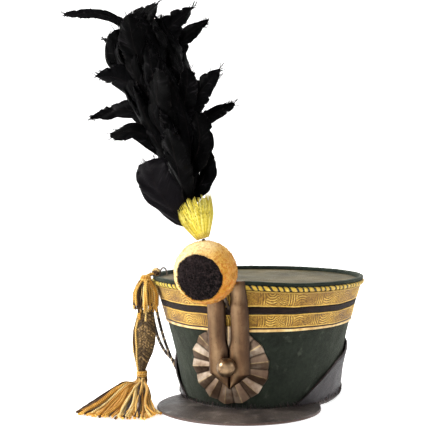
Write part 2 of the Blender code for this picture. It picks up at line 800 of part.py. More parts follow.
def feather(name, root_rise, mid_side, mid_rise, tip_side, tip_rise, mid_depth, tip_depth, width):
    """A thin blade from the spine to its tip, broad in the middle and with a raised quill line."""
    root = plume_point(spine_side(root_rise), 0, root_rise)
    middle = plume_point(mid_side, mid_depth, mid_rise)
    tip = plume_point(tip_side, tip_depth, tip_rise)
    path = smooth_path([root, middle, tip], 2)
    shares = (0.35, 0.85, 1.0, 0.75, 0.10)
    rows = []
    for k, share in enumerate(shares):
        direction = along(path, k)
        across = direction.cross(Vector((0, 1, 0)))
        across = (across if across.length > 0.2 else Vector((1, 0, 0))).normalized()
        out = across.cross(direction).normalized()
        half = PLUME_WIDTH * width * share / 2
        thick = FEATHER_THICK * (0.5 + 0.5 * share)
        here = path[k]
        sides = (-across * half, out * thick / 2, across * half, -out * thick / 2)
        rows.append([here + side for side in sides])
    return loft(name, rows, "black_feather")


def plume():
    """The feathers' common core stands in the cuff, and each feather is fused to it."""
    plug_foot = CUFF_FLOOR + CLEARANCE / CUFF_LENGTH
    rows = [cuff_ring(share, PLUG_RADIUS, steps=12) for share in (plug_foot, 1.04)]
    for side, rise, half_width, half_depth in PLUME_SPINE:
        row = []
        for k in range(12):
            turn = 2 * math.pi * k / 12
            row.append(plume_point(side + half_width * math.cos(turn), half_depth * math.sin(turn), rise))
        rows.append(row)
    core = loft("plume", rows, "black_feather")
    return fuse(core, [feather(f"plume_feather_{k + 1:02d}", *row) for k, row in enumerate(FEATHERS)])


# Cap line


def rim_edge(y):
    """The rim's outer edge at the wearer's right, at a given y."""
    centre_y, half_width, half_length = section(BODY_HEIGHT, RIM_OUTER)
    return Vector((-half_width * math.sqrt(1 - ((y - centre_y) / half_length) ** 2), y, BODY_HEIGHT))


KNOT = rim_edge(LINE_SIDE_Y) + Vector((KNOT_RADIUS * 0.7, 0, KNOT_RADIUS * 0.9 + CLEARANCE))
HANG = rim_edge(LINE_SIDE_Y) + Vector((-HANG_OUT, -HANG_FORWARD, 0))


def line_hook():
    """A small wire loop that stands on the rim and holds the knot."""
    foot = HOOK_WIRE + CLEARANCE
    middle = rim_edge(LINE_SIDE_Y) + Vector((HOOK_INWARD, -HOOK_AHEAD, 0))
    path = []
    for k in range(9):
        turn = math.pi * k / 8
        rise = foot + HOOK_HEIGHT * math.sin(turn)
        path.append(middle + Vector((HOOK_HALF_SPAN * math.cos(turn), 0, rise)))
    return tube("line_hook", path, HOOK_WIRE, "iron_wire", 1)


def line_knot():
    profile = [(0, -0.9), (0.62, -0.72), (1.0, -0.2), (0.95, 0.3), (0.6, 0.75), (0, 0.9)]
    scaled = [(radius * KNOT_RADIUS, rise * KNOT_RADIUS) for radius, rise in profile]
    return turned("line_knot", scaled, 10, "line_cord", Matrix.Translation(KNOT))


def tassel_head(name, top, radius, length, look):
    profile = [(0, 0), (radius * 0.75, -length * 0.05), (radius, -length * 0.45), (radius * 0.9, -length)]
    profile.append((0, -length * 1.05))
    return turned(name, profile, 10, look, Matrix.Translation(top))


def upper_tassel():
    """A short bushy tassel that hangs over the rim, clear of the wall."""
    top = HANG - Vector((0, 0, TASSEL_DROP))
    head = tassel_head("upper_tassel", top, TASSEL_HEAD_RADIUS, TASSEL_HEAD_LENGTH, "gold_fringe")
    to_knot = (top - KNOT).normalized()
    reach = KNOT + Vector((to_knot.x, to_knot.y, to_knot.z * 0.3)).normalized() * (KNOT_RADIUS + CLEARANCE)
    neck = [top - Vector((0, 0, 1.5 * TASSEL_DROP)), HANG + Vector((0.0010, 0.0010, 0.0015)), reach]
    radii = [TASSEL_HEAD_RADIUS * share for share in (0.48, 0.35, 0.26)]
    locks = [lock("upper_tassel_neck", neck, radii, "gold_fringe")]
    radii = [TASSEL_LOCK_RADIUS * share for share in (0.57, 1.0, 0.74)]
    for k in range(TASSEL_LOCKS):
        turn = 2 * math.pi * (k + 0.3) / TASSEL_LOCKS
        out = Vector((math.cos(turn), math.sin(turn), 0))
        path = []
        for spread, fall in ((0.23, 0.12), (0.62, 0.45), (0.72, 0.9 + 0.1 * (k % 2))):
            path.append(top + out * TASSEL_SPREAD * spread - Vector((0, 0, TASSEL_LENGTH * fall)))
        locks.append(lock(f"upper_tassel_lock_{k + 1}", path, radii, "gold_fringe"))
    return fuse(head, locks)


FLOUNDER_AT = HANG + Vector((0.0012, 0, 0))
FLOUNDER_WIDTHS = (  # share of the length from the top, share of the width
    (0.00, 0.45),
    (0.10, 0.72),
    (0.22, 0.82),
    (0.38, 1.00),
    (0.55, 1.00),
    (0.70, 0.86),
    (0.84, 0.58),
    (1.00, 0.30),
)


def flounder():
    """A plaited tongue, flat and thick in the middle, that hangs from the knot."""
    rows = []
    for share, width in FLOUNDER_WIDTHS:
        height = FLOUNDER_TOP - FLOUNDER_LENGTH * share
        half, thick = FLOUNDER_WIDTH * width / 2, FLOUNDER_THICK * (0.55 + 0.45 * width) / 2
        x = FLOUNDER_AT.x + FLOUNDER_SWAY * share
        turns = [2 * math.pi * k / 8 for k in range(8)]
        rows.append([(x + half * math.cos(a), FLOUNDER_AT.y + thick * math.sin(a), height) for a in turns])
    return loft("flounder", rows, "line_cord")


FLOUNDER_FOOT = FLOUNDER_AT.x + FLOUNDER_SWAY
BINDING_TOP = Vector((FLOUNDER_FOOT, FLOUNDER_AT.y, FLOUNDER_TOP - FLOUNDER_LENGTH - CLEARANCE))


def tassel_binding():
    profile = [(0, 0), (0.8, 0), (1.0, -0.2), (0.92, -0.5), (1.0, -0.8), (0.85, -1.0), (0, -1.0)]
    scaled = [(radius * BINDING_RADIUS, rise * BINDING_LENGTH) for radius, rise in profile]
    return turned("tassel_binding", scaled, 12, "gold_fringe", Matrix.Translation(BINDING_TOP))


FRINGE_TURNS = (  # degrees ahead, to the wearer's left; share of the length; how steeply it falls at first
    (36, 0.74, 0.62),
    (31, 1.00, 0.60),
    (23, 0.98, 0.58),
    (15, 0.95, 0.55),
    (7, 0.93, 0.52),
    (-1, 0.92, 0.50),
    (-9, 0.90, 0.47),
    (-17, 0.90, 0.42),
    (-26, 0.92, 0.38),
    (19, 0.82, 0.40),
    (3, 0.80, 0.38),
    (-14, 0.78, 0.34),
)
FRINGE_UNDER = 9  # the locks after these lie on top of them


def lower_tassel():
    """Long locks that fall from the binding and lie forward on the ground."""
    top = BINDING_TOP + Vector((0, 0, -BINDING_LENGTH - CLEARANCE))
    head = tassel_head("lower_tassel", top, BINDING_RADIUS * 1.1, FRINGE_HEAD, "gold_fringe")
    drop = top.z - FRINGE_STRAND / 2
    locks = []
    for k, (degrees, share, fall) in enumerate(FRINGE_TURNS):
        turn = math.radians(degrees)
        out = Vector((math.sin(turn), -math.cos(turn), 0))
        reach = math.sqrt((FRINGE_LENGTH * share) ** 2 - drop**2)
        layer = FRINGE_STRAND * (0.9 if k >= FRINGE_UNDER else 0.0)
        start = top + out * BINDING_RADIUS * 0.36 + Vector((0, 0, -FRINGE_HEAD * 0.5))
        bend = top + out * reach * 0.30 + Vector((0, 0, -drop * fall + layer))
        land = top + out * reach * 0.72 + Vector((0, 0, -drop * (0.72 + 0.4 * fall) + layer))
        end = top + out * reach + Vector((0, 0, -drop + layer * 0.4))
        half = FRINGE_STRAND / 2
        radii = (half * 0.8, half * 1.15, half, half * 0.98)
        locks.append(lock(f"lower_tassel_lock_{k + 1:02d}", [start, bend, land, end], radii, "gold_fringe"))
    return fuse(head, locks)


# Routes of the two line cords: turn from the back in degrees, height share of the body, offset
CORD_ROUTE_A = (
    (-119.5, 1.026, -0.0006),
    (-115.5, 0.985, 0.0062),
    (-112.0, 0.900, 0.0078),
    (-107.0, 0.760, 0.0093),
    (-103.5, 0.610, 0.0122),
    (-99.5, 0.430, 0.0139),
    (-94.0, 0.240, 0.0134),
    (-86.5, 0.075, 0.0106),
    (-72.0, 0.022, 0.0090),
    (-45.0, 0.018, 0.0090),
    (-20.0, 0.022, 0.0090),
    (5.0, 0.080, 0.0090),
    (23.0, 0.240, 0.0085),
    (37.0, 0.450, 0.0080),
    (46.0, 0.630, 0.0065),
    (51.0, 0.750, 0.0052),
    (52.5, 0.800, 0.0046),
)
CORD_ROUTE_B = (
    (-120.7, 1.026, 0.0024),
    (-119.8, 0.990, 0.0064),
    (-117.0, 0.900, 0.0097),
    (-112.0, 0.740, 0.0134),
    (-107.5, 0.590, 0.0167),
    (-101.5, 0.440, 0.0189),
    (-93.5, 0.300, 0.0189),
    (-83.0, 0.190, 0.0169),
    (-66.0, 0.110, 0.0152),
    (-42.0, 0.085, 0.0140),
    (-18.0, 0.095, 0.0140),
    (7.0, 0.165, 0.0140),
    (26.0, 0.310, 0.0135),
    (41.0, 0.500, 0.0125),
    (51.5, 0.650, 0.0105),
    (57.5, 0.755, 0.0065),
    (58.5, 0.800, 0.0048),
)


def line_cord(name, route):
    points = [wall_point(math.radians(turn), BODY_HEIGHT * rise, off) for turn, rise, off in route]
    path = spaced(smooth_path(points, 8), CORD_STEP)
    return tube(name, path, CORD_DIAMETER / 2, "line_cord", 2)


def line_catch():
    """A plain catch at the left rear, under the rim, where both cords end."""
    turn, height, offset = CATCH_TURN, BANDS["lace_upper"][1] + UPPER_LACE_HEIGHT / 4, BAND_OUTER + CLEARANCE
    middle = wall_point(turn, height, offset)
    up = (wall_point(turn, height + CATCH_HALF, offset) - middle).normalized()
    side = (wall_point(turn + 0.05, height, offset) - middle).normalized()
    out = up.cross(side).normalized()
    rows = []
    for share, half in ((0, 1), (0.7, 1), (1, 0.73)):
        start = middle + out * (CLEARANCE + CATCH_THICK * share)
        half *= CATCH_HALF
        rows.append([start + side * across * half + up * rise * half for across, rise in CATCH_CORNERS])
    return loft("line_catch", rows, "aged_brass")


def build():
    clear_scene()
    felt_body()
    crown_top()
    rim_binding()
    base_binding()
    rim_braid()
    for name, look in (
        ("lace_upper", "gold_lace"),
        ("lace_stripe", "dark_stripe"),
        ("lace_lower", "gold_lace"),
        ("lace_edge", "gold_lace"),
    ):
        flat_band(name, look)
    peak()
    back_peak()
    cockade_disc()
    loop()
    ball_button()
    plume_stem()
    pompom()
    pompom_face()
    feather_cuff()
    plume()
    line_hook()
    line_knot()
    upper_tassel()
    flounder()
    tassel_binding()
    lower_tassel()
    line_cord("line_cord_a", CORD_ROUTE_A)
    line_cord("line_cord_b", CORD_ROUTE_B)
    line_catch()


build()
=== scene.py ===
import math

import bpy
import numpy as np
from mathutils import Matrix, Vector


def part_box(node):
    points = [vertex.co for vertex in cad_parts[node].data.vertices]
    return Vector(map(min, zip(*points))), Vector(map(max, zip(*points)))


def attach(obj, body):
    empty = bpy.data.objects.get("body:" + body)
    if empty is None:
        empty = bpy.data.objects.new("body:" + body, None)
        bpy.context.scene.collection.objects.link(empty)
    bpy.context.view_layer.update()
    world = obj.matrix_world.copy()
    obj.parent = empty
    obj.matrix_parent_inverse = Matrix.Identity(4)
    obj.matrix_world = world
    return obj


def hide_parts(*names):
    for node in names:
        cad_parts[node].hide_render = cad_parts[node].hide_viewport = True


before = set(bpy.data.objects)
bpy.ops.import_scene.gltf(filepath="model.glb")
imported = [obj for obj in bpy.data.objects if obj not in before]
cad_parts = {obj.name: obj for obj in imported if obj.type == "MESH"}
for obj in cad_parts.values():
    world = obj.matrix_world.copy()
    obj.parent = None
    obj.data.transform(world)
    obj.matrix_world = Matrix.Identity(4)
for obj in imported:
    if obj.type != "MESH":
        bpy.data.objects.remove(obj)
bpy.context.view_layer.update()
print("frame loaded")

# The hat's wall, as the solids have it: an ellipse that widens upwards, with sides that curve in

hat = {
    "height": 0.130,
    "footHalf": (0.081, 0.101),  # half width and half length
    "topHalf": (0.1105, 0.114),
    "topShift": -0.014,
    "waist": 0.004,
    "felt": 0.003,
    "gap": 0.0003,
    "girth": 0.105,  # mean radius, which turns an angle into metres of cloth
    "crest": 0.0030,  # the rim rides up a little beside the pompom
    "crestTurn": 2.98,
    "crestSpread": 0.38,
    "frontLean": 0.20478,  # of the front, in radians from upright
}


# x = a sin(turn), y = c + b cos(turn); a, b and c grow evenly with height and a is drawn in at the waist
def sizesAt(height, offset):
    share = height / hat["height"]
    across = hat["footHalf"][0] + (hat["topHalf"][0] - hat["footHalf"][0]) * share + offset
    length = hat["footHalf"][1] + (hat["topHalf"][1] - hat["footHalf"][1]) * share + offset
    return across - hat["waist"] * 4 * share * (1 - share), length, hat["topShift"] * share


def wall(turn, height, offset=0.0):
    turn, height, offset = np.broadcast_arrays(turn, height, offset)
    across, length, middle = sizesAt(height, offset)
    bulge = np.exp(-(((turn % (2 * math.pi) - hat["crestTurn"]) / hat["crestSpread"]) ** 2))
    height = height + hat["crest"] * bulge * smooth(0.098, 0.122, height)
    return np.stack([across * np.sin(turn), middle + length * np.cos(turn), height], -1)


# the front of the wall at a given x
def frontPoint(x, height, offset):
    x, height, offset = np.broadcast_arrays(x, height, offset)
    across, length, middle = sizesAt(height, offset)
    return np.stack([x, middle - length * np.sqrt(np.maximum(0, 1 - (x / across) ** 2)), height], -1)


# y of the wall's front line
def faceY(height, offset):
    _, length, middle = sizesAt(height, 0.0)
    return middle - length - offset


# a sum of waves in random directions, about -1 to 1; points are rows of any number of coordinates
def waves(points, pitch, seed, count=10):
    draw = np.random.default_rng(seed)
    points = np.asarray(points, dtype=float)
    total = np.zeros(points.shape[:-1])
    for _ in range(count):
        direction = draw.normal(size=points.shape[-1])
        direction *= 2 * math.pi / pitch / np.linalg.norm(direction) * draw.uniform(0.6, 1.5)
        total += np.sin(points @ direction + draw.uniform(0, 2 * math.pi))
    return total / math.sqrt(count / 2) / 1.6


# waves of several (pitch, seed, depth) together
def dents(points, rows):
    return sum(waves(points, pitch, seed) * depth for pitch, seed, depth in rows)


def smooth(low, high, value):
    share = np.clip((value - low) / (high - low), 0, 1)
    return share * share * (3 - 2 * share)


def ripple(x, pitch):
    return np.sin(x * 2 * math.pi / pitch)


# angles of a full round, without the closing one
def turnsOf(count):
    return np.linspace(0, 2 * math.pi, count, endpoint=False)


# metres of cloth from the start to each step of a full round
def clothRun(around):
    return np.linspace(0, 2 * math.pi * hat["girth"], around + 1)


# a sheet's front and then its back the other way, so that the grid closes round
def folded(front, back=None):
    back = front if back is None else back
    return np.concatenate([front, back[:, ::-1]], 1)


# coordinates of unlike shapes, spread to one shape and set side by side
def together(*coordinates):
    return np.stack(np.broadcast_arrays(*coordinates), -1)


# points round the Z axis at a radius and a height
def roundOf(turn, radius, height=0.0):
    return together(np.cos(turn) * radius, np.sin(turn) * radius, height)


def unit(vectors):
    return vectors / np.maximum(np.linalg.norm(vectors, axis=-1, keepdims=True), 1e-12)


# Catmull-Rom through control points (..., count, 3)
def smoothPath(points, steps):
    points = np.asarray(points, dtype=float)
    first = 2 * points[..., :1, :] - points[..., 1:2, :]
    last = 2 * points[..., -1:, :] - points[..., -2:-1, :]
    held = np.concatenate([first, points, last], axis=-2)
    t = np.linspace(0, 1, steps, endpoint=False)[:, None]
    spans = []
    for k in range(points.shape[-2] - 1):
        a, b, c, d = (held[..., k + j, :][..., None, :] for j in range(4))
        cubic = (3 * b - a - 3 * c + d) * t**3
        spans.append(0.5 * (2 * b + (c - a) * t + (2 * a - 5 * b + 4 * c - d) * t**2 + cubic))
    return np.concatenate([*spans, points[..., -1:, :]], axis=-2)


def runLength(path):
    steps = np.linalg.norm(np.diff(path, axis=-2), axis=-1)
    return np.concatenate([np.zeros((*steps.shape[:-1], 1)), np.cumsum(steps, axis=-1)], axis=-1)


def evenPath(path, step):
    length = runLength(path)
    at = np.linspace(0, length[-1], max(2, round(length[-1] / step)) + 1)
    return np.stack([np.interp(at, length, path[:, k]) for k in range(3)], -1)


# Meshes from grids of points


def buildMesh(name, points, quads, tris, uv, marks=None, crease=None):
    points = points.reshape(-1, 3)
    a, b, c, d = (points[quads[:, k]] for k in range(4))
    volume = np.einsum("ij,ij->", a, np.cross(b, c)) + np.einsum("ij,ij->", a, np.cross(c, d))
    if len(tris):
        a, b, c = (points[tris[:, k]] for k in range(3))
        volume += np.einsum("ij,ij->", a, np.cross(b, c))
    uvQuads, uvTris = uv
    if volume < 0:
        quads, tris = quads[:, ::-1], tris[:, ::-1]
        uvQuads, uvTris = uvQuads[:, ::-1], uvTris[:, ::-1]
    corners = np.concatenate([quads.ravel(), tris.ravel()]).astype(np.int32)
    starts = np.concatenate([np.arange(len(quads)) * 4, len(quads) * 4 + np.arange(len(tris)) * 3])
    mesh = bpy.data.meshes.new(name)
    mesh.vertices.add(len(points))
    mesh.vertices.foreach_set("co", points.astype(np.float32).ravel())
    mesh.loops.add(len(corners))
    mesh.loops.foreach_set("vertex_index", corners)
    mesh.polygons.add(len(starts))
    mesh.polygons.foreach_set("loop_start", starts.astype(np.int32))
    mesh.update(calc_edges=True)
    layer = mesh.uv_layers.new(name="UVMap")
    pairs = np.concatenate([uvQuads.reshape(-1, 2), uvTris.reshape(-1, 2)])
    layer.data.foreach_set("uv", pairs.astype(np.float32).ravel())
    for mark, values in (marks or {}).items():
        held = mesh.attributes.new(mark, "FLOAT", "POINT")
        held.data.foreach_set("value", np.ascontiguousarray(values, dtype=np.float32).ravel())
    mesh.shade_smooth()
    if crease is not None:
        mesh.set_sharp_from_angle(angle=math.radians(crease))
    made = bpy.data.objects.new(name, mesh)
    bpy.context.collection.objects.link(made)
    return made


# a grid (rows, cols, 3) closed round; an open end is closed by a fan to its row's middle
def surface(name, grid, u=None, v=None, loop=False, marks=None, crease=None):
    rows, cols = grid.shape[:2]
    u = np.linspace(0, 1, cols + 1) if u is None else u
    v = np.linspace(0, 1, rows + 1) if v is None else v
    i = np.arange(rows if loop else rows - 1)[:, None]
    j = np.arange(cols)[None, :]
    after, beyond = (j + 1) % cols, (i + 1) % rows
    quads = together(i * cols + j, i * cols + after, beyond * cols + after, beyond * cols + j)
    spread = np.stack([together(u[j + k], v[i + m]) for k, m in ((0, 0), (1, 0), (1, 1), (0, 1))], -2)
    points, tris, uvTris = grid.reshape(-1, 3), np.zeros((0, 3), int), np.zeros((0, 3, 2))
    marks = {key: np.asarray(value).ravel() for key, value in (marks or {}).items()}
    if not loop:
        j, after = j[0], after[0]
        points = np.concatenate([points, [grid[0].mean(0), grid[-1].mean(0)]])
        marks = {key: np.append(value, [value[0], value[-1]]) for key, value in marks.items()}
        low, high, top = rows * cols, rows * cols + 1, (rows - 1) * cols
        foot = np.stack([j * 0 + low, after, j], -1)
        head = np.stack([j * 0 + high, top + j, top + after], -1)
        tris = np.concatenate([foot, head])
        middle = (u[j] + u[j + 1]) / 2
        footUv = np.stack([np.stack([middle, u[j + 1], u[j]], -1), np.full((cols, 3), v[0])], -1)
        headUv = np.stack([np.stack([middle, u[j], u[j + 1]], -1), np.full((cols, 3), v[-1])], -1)
        uvTris = np.concatenate([footUv, headUv])
    uv = (spread.reshape(-1, 4, 2), uvTris)
    return buildMesh(name, points, quads.reshape(-1, 4), tris, uv, marks, crease)


# many grids (count, steps, sides, 3) in one mesh, each closed round and capped at both ends
def lofts(name, grids, length, marks=None):
    count, steps, sides = grids.shape[:3]
    n = np.arange(count)[:, None, None] * steps * sides
    i = np.arange(steps - 1)[None, :, None]
    k = np.arange(sides)[None, None, :]
    after = (k + 1) % sides
    here = n + i * sides
    quads = together(here + k, here + after, here + sides + after, here + sides + k)
    sofar, beyond = length[:, :-1, None], length[:, 1:, None]
    low, high = np.broadcast_arrays(k / sides, (k + 1) / sides)
    corners = ((low, sofar), (high, sofar), (high, beyond), (low, beyond))
    uv = np.stack([together(*corner) for corner in corners], -2)
    fan = np.arange(1, sides - 1)
    foot = together(n[:, :, 0], n[:, :, 0] + fan + 1, n[:, :, 0] + fan)
    top = n[:, :, 0] + (steps - 1) * sides
    head = together(top, top + fan, top + fan + 1)
    tris = np.concatenate([foot.reshape(-1, 3), head.reshape(-1, 3)])
    uv = (uv.reshape(-1, 4, 2), np.zeros((len(tris), 3, 2)))
    return buildMesh(name, grids, quads.reshape(-1, 4), tris, uv, marks)


# tubes carried along many paths (count, steps, 3); lobes twist round each tube once in pitch metres
def tubes(name, paths, radii, sides=6, flat=1.0, across=None, lobes=0, depth=0.0, pitch=0.01, marks=None):
    count, steps = paths.shape[:2]
    radii = np.broadcast_to(radii, (count, steps))
    tangent = unit(np.gradient(paths, axis=1))
    if across is None:
        mean = np.abs(tangent.mean(1))
        across = np.eye(3)[np.argmin(mean, axis=-1)][:, None, :]
    side = unit(across - tangent * (across * tangent).sum(-1, keepdims=True))
    up = np.cross(tangent, side)
    length = runLength(paths)
    turn = 2 * math.pi * np.arange(sides) / sides
    swing = np.cos(lobes * (turn[None, None, :] - 2 * math.pi * length[:, :, None] / pitch))
    reach = (1 - depth * (0.5 - 0.5 * swing)) * radii[:, :, None]
    points = paths[:, :, None, :] + (reach * np.cos(turn))[..., None] * side[:, :, None, :]
    points = points + (reach * np.sin(turn) * flat)[..., None] * up[:, :, None, :]
    held = {key: np.broadcast_to(np.asarray(value).reshape(count, -1, 1), (count, steps, sides))
            for key, value in (marks or {}).items()}
    return lofts(name, points, length, held)


# one level of a mark all over a piece
def evenMark(piece, mark, level):
    held = piece.data.attributes.new(mark, "FLOAT", "POINT")
    held.data.foreach_set("value", np.full(len(piece.data.vertices), level, dtype=np.float32))


def joined(name, parts):
    with bpy.context.temp_override(active_object=parts[0], selected_editable_objects=parts):
        bpy.ops.object.join()
    parts[0].name = name
    return parts[0]


def dress(piece, look, slot, *nodes):
    piece.data.materials.clear()
    piece.data.materials.append(look)
    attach(piece, "root")
    if nodes:
        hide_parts(*nodes)
    return piece


# Shader maths: a wrapped socket takes part in plain expressions


class Field:
    def __init__(self, look, socket):
        self.look = look
        self.socket = socket

    def math(self, operation, *others):
        return self.look.node("ShaderNodeMath", {"operation": operation}, dict(enumerate((self, *others))))

    def __add__(self, other):
        return self.math("ADD", other)

    __radd__ = __add__

    def __sub__(self, other):
        return self.math("SUBTRACT", other)

    def __rsub__(self, other):
        return self.look.node("ShaderNodeMath", {"operation": "SUBTRACT"}, {0: other, 1: self})

    def __mul__(self, other):
        return self.math("MULTIPLY", other)

    __rmul__ = __mul__

    def __truediv__(self, other):
        return self.math("DIVIDE", other)

    def __pow__(self, other):
        return self.math("POWER", other)

    def sine(self):
        return self.math("SINE")

    def ripple(self, pitch):
        return (self * (2 * math.pi / pitch)).sine()

    def floor(self):
        return self.math("FLOOR")

    def size(self):
        return self.math("ABSOLUTE")

    def over(self, level):
        return self.math("GREATER_THAN", level)

    def between(self, low, high):
        inputs = {"Value": self, "From Min": low, "From Max": high, "To Min": 0.0, "To Max": 1.0}
        return self.look.node("ShaderNodeMapRange", {"interpolation_type": "SMOOTHSTEP"}, inputs)


class Look:
    def __init__(self, name, fixed):
        self.material = bpy.data.materials.new(name)
        self.material.use_nodes = True
        self.tree = self.material.node_tree
        self.shader = self.tree.nodes["Principled BSDF"]
        for socket, value in fixed.items():
            self.shader.inputs[socket].default_value = value

    def node(self, kind, settings, inputs, output=0):
        made = self.tree.nodes.new(kind)
        for key, value in settings.items():
            if key == "stops":
                while len(made.color_ramp.elements) < len(value):
                    made.color_ramp.elements.new(1.0)
                for stop, (place, colour) in zip(made.color_ramp.elements, value):
                    stop.position = place
                    stop.color = colour
            else:
                setattr(made, key, value)
        for key, value in inputs.items():
            if isinstance(value, Field):
                self.tree.links.new(value.socket, made.inputs[key])
            else:
                made.inputs[key].default_value = value
        return Field(self, made.outputs[output])

    def give(self, socket, field):
        self.tree.links.new(field.socket, self.shader.inputs[socket])

    def place(self):
        return self.node("ShaderNodeTexCoord", {}, {}, "Object")

    def uv(self):
        both = self.node("ShaderNodeUVMap", {"uv_map": "UVMap"}, {})
        return self.parts(both)[:2]

    def parts(self, vector):
        split = self.tree.nodes.new("ShaderNodeSeparateXYZ")
        self.tree.links.new(vector.socket, split.inputs[0])
        return [Field(self, out) for out in split.outputs]

    def vector(self, x, y, z=0.0):
        return self.node("ShaderNodeCombineXYZ", {}, {0: x, 1: y, 2: z})

    def mark(self, name):
        return self.node("ShaderNodeAttribute", {"attribute_name": name}, {}, "Fac")

    def noise(self, scale, detail=3.0, rough=0.55, at=None, stretch=0.0):
        inputs = {"Vector": at or self.place(), "Scale": scale, "Detail": detail, "Roughness": rough}
        return self.node("ShaderNodeTexNoise", {}, {**inputs, "Distortion": stretch})

    # 0 on the borders between cells, growing inwards
    def cells(self, scale):
        inputs = {"Vector": self.place(), "Scale": scale}
        return self.node("ShaderNodeTexVoronoi", {"feature": "DISTANCE_TO_EDGE"}, inputs, "Distance")

    # colours are fields or 0 to 255
    def mix(self, share, first, second):
        first, second = (held if isinstance(held, Field) else paint(*held) for held in (first, second))
        return self.node("ShaderNodeMix", {"data_type": "RGBA"}, {0: share, 6: first, 7: second}, 2)

    # each stop is a place and a colour, 0 to 255
    def ramp(self, field, *stops):
        stops = [(place, paint(*tone)) for place, *tone in stops]
        return self.node("ShaderNodeValToRGB", {"stops": stops}, {0: field})

    def bump(self, height, distance, strength=1.0):
        inputs = {"Strength": strength, "Distance": distance, "Height": height}
        self.give("Normal", self.node("ShaderNodeBump", {}, inputs))


# a colour as a picture gives it, 0 to 255, made linear
def paint(red, green, blue):
    shares = np.array([red, green, blue]) / 255
    linear = np.where(shares <= 0.04045, shares / 12.92, ((shares + 0.055) / 1.055) ** 2.4)
    return (*[float(x) for x in linear], 1.0)


# Camera, floor and lights

shot = {
    "turn": 15.98,  # degrees from straight ahead, towards the wearer's left
    "distance": 1.1244,
    "height": 0.2280,
    "reach": 1041.2,  # focal length in pixels of the frame
    "pitch": -1.852,
    "yaw": 2.495,
    "frame": 432,
    "sensor": 36.0,
}


def makeCamera():
    turn = math.radians(shot["turn"])
    data = bpy.data.cameras.new("shotCamera")
    data.sensor_width = shot["sensor"]
    data.lens = shot["sensor"] * shot["reach"] / shot["frame"]
    data.clip_start = 0.05
    data.clip_end = 20
    camera = bpy.data.objects.new("shotCamera", data)
    camera.location = (math.sin(turn) * shot["distance"], -math.cos(turn) * shot["distance"], shot["height"])
    pitch = math.pi / 2 + math.radians(shot["pitch"])
    camera.rotation_euler = (pitch, 0, turn + math.radians(shot["yaw"]))
    bpy.context.collection.objects.link(camera)
    bpy.context.scene.camera = camera


studio = {
    "rings": (0.05, 0.6, 1.2, 1.8),
    "flat": 2.4,
    "bend": 1.2,
    "bendSteps": 16,
    "rise": 3.0,
    "around": 64,
    "world": 0.12,
    "glow": 0.62,  # the ground's own light, which keeps it white
    "dim": 0.05,  # and that of the walls at the camera's side and flanks
    "fade": (1.0, 2.6),  # from the hat, where the light falls off
    "flank": (-0.80, 0.30),
}


# a round floor that bends up on all sides; it dims away from the hat, but not behind it
def makeStage():
    s = studio
    bend = np.linspace(0, math.pi / 2, s["bendSteps"])
    radius = np.concatenate([s["rings"], s["flat"] + s["bend"] * np.sin(bend)])
    height = np.concatenate([np.zeros(len(s["rings"])), s["bend"] * (1 - np.cos(bend))])
    radius, height = np.append(radius, radius[-1]), np.append(height, height[-1] + s["rise"])
    spots = roundOf(turnsOf(s["around"]), radius[:, None], height[:, None])
    j = np.arange(s["around"])[None]
    i = np.arange(len(radius) - 1)[:, None] * s["around"]
    after, above = (j + 1) % s["around"], i + s["around"]
    quads = np.stack([i + j, above + j, above + after, i + after], -1)
    mesh = bpy.data.meshes.new("studioFloor")
    mesh.from_pydata(spots.reshape(-1, 3).tolist(), [], [*quads.reshape(-1, 4).tolist(), j[0].tolist()])
    mesh.shade_smooth()
    floor = bpy.data.objects.new("studioFloor", mesh)
    bpy.context.collection.objects.link(floor)
    fixed = {"Base Color": (0.93, 0.93, 0.93, 1), "Roughness": 0.9, "Specular IOR Level": 0.0}
    look = Look("paleFloor", {**fixed, "Emission Strength": 1.0})
    x, y, _ = look.parts(look.place())
    turn = math.radians(shot["turn"])
    toward = (x * math.sin(turn) - y * math.cos(turn)) / (x * x + y * y) ** 0.5
    dark = ((x * x + y * y) ** 0.5).between(*s["fade"]) * toward.between(*s["flank"])
    look.give("Emission Color", dark * (s["dim"] - s["glow"]) + s["glow"])
    floor.data.materials.append(look.material)


lamps = {  # place, aim, size, watts, colour
    "keyLamp": ((-1.60, -0.85, 1.10), (0.0, -0.05, 0.12), 0.7, 53, (1.0, 0.98, 0.95)),
    "frontLamp": ((0.15, -1.9, 1.1), (0.0, 0.0, 0.14), 0.6, 3, (1.0, 0.99, 0.97)),
    "edgeLamp": ((1.8, 0.2, 0.9), (0.0, 0.0, 0.12), 0.7, 4, (0.95, 0.97, 1.0)),
    "topLamp": ((0.1, 0.3, 1.9), (0.0, -0.05, 0.10), 0.9, 7, (1.0, 1.0, 1.0)),
}


def makeLamps():
    for name, (place, aim, size, watts, colour) in lamps.items():
        data = bpy.data.lights.new(name, "AREA")
        data.shape = "SQUARE"
        data.size = size
        data.energy = watts
        data.color = colour
        lamp = bpy.data.objects.new(name, data)
        lamp.location = place
        lamp.rotation_euler = (Vector(aim) - Vector(place)).to_track_quat("-Z", "Y").to_euler()
        bpy.context.collection.objects.link(lamp)
    world = bpy.data.worlds.new("studioWorld")
    world.use_nodes = True
    sky = world.node_tree.nodes["Background"]
    sky.inputs["Color"].default_value = (1, 1, 1, 1)
    sky.inputs["Strength"].default_value = studio["world"]
    bpy.context.scene.world = world
    bpy.context.scene.view_settings.view_transform = "Standard"


makeCamera()
makeStage()
makeLamps()
print("camera, floor and lamps made")


# Cloth threads: a plied thread whose colour comes from its own number


